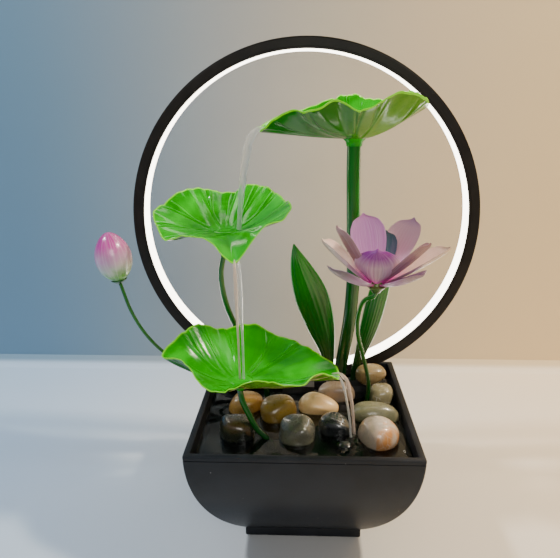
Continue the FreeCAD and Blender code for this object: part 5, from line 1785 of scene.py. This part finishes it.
# ---------------------------------------------------------------- studio
@dataclass
class Studio:
    """Floor, wall, soft lights and the camera."""

    lens: float = 37.58
    eye: Spot = (-0.0015, -0.4677, 0.3443)
    pitch: float = 15.53
    yaw: float = 2.309
    roll: float = -0.25
    wall_y: float = 0.309
    air_colour: tuple[float, ...] = (0.8, 0.88, 1.0, 1.0)
    air_strength: float = 0.16

    def backdrop(self) -> None:
        """A pale floor and a wall behind, joined by a small cove, both painted with cool light on
        the left and warm light on the right; clear from behind.
        """
        cove = np.array([(-3.0, 0.0), (self.wall_y - 0.02, 0.0), (self.wall_y - 0.008, 0.003),
                         (self.wall_y, 0.012), (self.wall_y + 0.02, 3.0)])
        wide = np.array([-4.0, 4.0])
        rows = np.stack(np.broadcast_arrays(wide[None, :], cove[:, :1], cove[:, 1:]), -1)
        mesh = bpy.data.meshes.new("backdrop")
        faces = [(2 * k, 2 * k + 1, 2 * k + 3, 2 * k + 2) for k in range(len(cove) - 1)]
        mesh.from_pydata(rows.reshape(-1, 3).tolist(), [], faces)
        obj = bpy.data.objects.new("backdrop", mesh)
        bpy.context.scene.collection.objects.link(obj)
        wiring = principled("backdrop_painted_cool_warm_light", Roughness=0.55)
        x, _, z = wiring.split(wiring.place())
        # wall and floor go from cool blue on the left to warm on the right: painted cool and warm
        # light
        side = wiring.between(x, -0.42, 0.38)
        wall = wiring.blend(side, (0.14, 0.26, 0.38), (0.80, 0.60, 0.34))
        floor = wiring.blend(side, (0.46, 0.62, 0.82), (1.0, 0.86, 0.66))
        colour = wiring.blend(wiring.between(z, 0.001, 0.008), floor, wall)
        material = wiring.shade(Base_Color=colour)
        clear = wiring.add("BsdfTransparent")
        side_seen = wiring.add("NewGeometry").outputs["Backfacing"]
        one_sided = wiring.add("MixShader", {0: side_seen, 1: wiring.shader.outputs["BSDF"],
                                             2: clear.outputs["BSDF"]})
        out = wiring.tree.nodes["Material Output"]
        wiring.feed(out.inputs["Surface"], one_sided.outputs["Shader"])
        mesh.materials.append(material)

    @staticmethod
    def lamp(name: str, at: Spot, aim: Spot, size: float, power: float, colour: Colour) -> None:
        """A square soft light turned towards a point.

        Args:
            name: the lamp's name.
            at: its place.
            aim: the point that it faces.
            size: its side in metres.
            power: its power in watts.
            colour: its colour.
        """
        data = bpy.data.lights.new(name, "AREA")
        data.size, data.energy, data.color = size, power, colour
        obj = bpy.data.objects.new(name, data)
        here, there = np.array(at), np.array(aim)
        back = unit(here - there)
        right = unit(np.cross(np.array([0.0, 0.0, 1.0]), back))
        up = np.cross(back, right)
        turn = np.eye(4)
        turn[:3, 0], turn[:3, 1], turn[:3, 2], turn[:3, 3] = right, up, back, here
        obj.matrix_world = Matrix(turn.tolist())
        bpy.context.scene.collection.objects.link(obj)

    def camera(self) -> None:
        """The camera, from its place, its pitch down, its yaw to the left and its roll."""
        p, w, r = (math.radians(angle) for angle in (self.pitch, self.yaw, self.roll))
        ahead = np.array([-math.sin(w) * math.cos(p), math.cos(w) * math.cos(p), -math.sin(p)])
        right = np.array([math.cos(w), math.sin(w), 0.0])
        up = np.cross(right, ahead)
        turn = np.eye(4)
        turn[:3, 0] = right * math.cos(r) + up * math.sin(r)
        turn[:3, 1] = up * math.cos(r) - right * math.sin(r)
        turn[:3, 2] = -ahead
        turn[:3, 3] = self.eye
        data = bpy.data.cameras.new("camera")
        data.lens, data.sensor_width = self.lens, 36.0
        obj = bpy.data.objects.new("camera", data)
        obj.matrix_world = Matrix(turn.tolist())
        bpy.context.scene.collection.objects.link(obj)
        bpy.context.scene.camera = obj

    def build(self) -> None:
        """Sets the stage."""
        self.backdrop()
        self.lamp("key_high_left", (-1.05, -0.1, 1.5), (0, 0, 0.2), 0.12, 18, (0.90, 0.95, 1.0))
        self.lamp("key_high_right", (1.0, -0.1, 1.5), (0, 0, 0.2), 0.12, 28, (1.0, 0.86, 0.66))
        self.lamp("front_soft", (0.15, -1.3, 0.9), (0, 0, 0.15), 0.6, 7, (1.0, 0.96, 0.90))
        world = bpy.data.worlds.new("studio_air")
        world.use_nodes = True
        air = world.node_tree.nodes["Background"].inputs
        air["Color"].default_value = self.air_colour
        air["Strength"].default_value = self.air_strength
        bpy.context.scene.world = world
        self.camera()


def main() -> None:
    """Builds the studio and every piece, in order."""
    logging.basicConfig(level=logging.INFO, format="%(name)s: %(message)s")
    effects = Effects()
    Studio().build()
    Bowl().build(effects)
    Screws().build(effects)
    Hoop().build(effects)
    glossy = LeafFinish("lotus_leaf_glossy").material(effects)
    Leaf("top_leaf", Body.TOP_LEAF, (40, 26, 327), TOP_RIM, 3).build(glossy)
    Leaf("middle_leaf", Body.MIDDLE_LEAF, (-66, 12, 251), MIDDLE_RIM, 5).build(glossy)
    Leaf("bottom_leaf", Body.BOTTOM_LEAF, (-51, -40, 140), BOTTOM_RIM, 8).build(glossy)
    Hub("top_leaf_collar", Body.TOP_LEAF, (40, 26, 327), False).build(glossy)
    Hub("middle_leaf_collar", Body.MIDDLE_LEAF, (-66, 12, 251)).build(glossy)
    Hub("bottom_leaf_collar", Body.BOTTOM_LEAF, (-51, -40, 140)).build(glossy)
    stem = StemFinish("stem_satin_green").material(effects)
    pipe = StemFinish("riser_satin_green", across=34.0).material(effects)
    blade = StemFinish("blade_satin_green", (0.001, 0.062, 0.002), (0.004, 0.19, 0.002), 0.26,
                       9.0).material(effects)
    Riser().build(pipe)
    Stem("bottom_leaf_stem", [(-26, -46, 80), (-26.2, -46, 84), (-29, -46, 91.3),
                              (-37.5, -45, 100.5), (-44.5, -43, 113), (-50, -41, 125.5),
                              (-51, -40, 130), (-51, -40, 138)], 2.8, 2.3).build(stem)
    Stem("middle_leaf_stem", [(-32, 26, 80), (-32.2, 26, 85), (-36, 25, 108), (-48, 21, 138),
                              (-60, 17, 165), (-68.5, 14.5, 190), (-71.3, 13, 215),
                              (-67.6, 12, 236), (-66, 12, 249)], 2.6, 2.3).build(stem)
    Stem("flower_stem", [(57, 20, 80), (57.1, 20, 86), (58.8, 19.5, 108), (52, 14.5, 141),
                         (46.3, 8, 164), (45.9, 3, 182), (50.5, -3.5, 198), (57.5, -7.5, 203),
                         (58.5, -8, 207.5)], 1.9, 1.9).build(stem)
    Blade("left_blade", [((25.2, 44.5, 96), 2.2), ((25.2, 44.5, 101), 2.3),
                         ((22.5, 43, 128), 6.3), ((15.5, 38, 158), 13.0),
                         ((6.0, 30, 190), 15.0), ((-3.0, 25.5, 216), 9.6),
                         ((-7.2, 23.4, 230), 4.6), ((-9.4, 23, 239), 0.6)]).build(blade)
    Blade("right_blade", [((47.5, 52.5, 96), 2.5), ((47.8, 52.4, 101), 2.7),
                          ((53.5, 46, 130), 5.4), ((59.5, 41, 155), 8.2), ((65.5, 37, 185), 9.0),
                          ((70.5, 35, 210), 6.6), ((73.6, 34, 231), 0.8)]).build(blade)
    Flower().build(effects)
    Bud().build(effects)
    for seed, pebble in enumerate(PEBBLES, start=20):
        pebble.build(effects, seed)
    Water().build(effects)
    Machinery().build(effects)


if __name__ == "__main__":
    main()
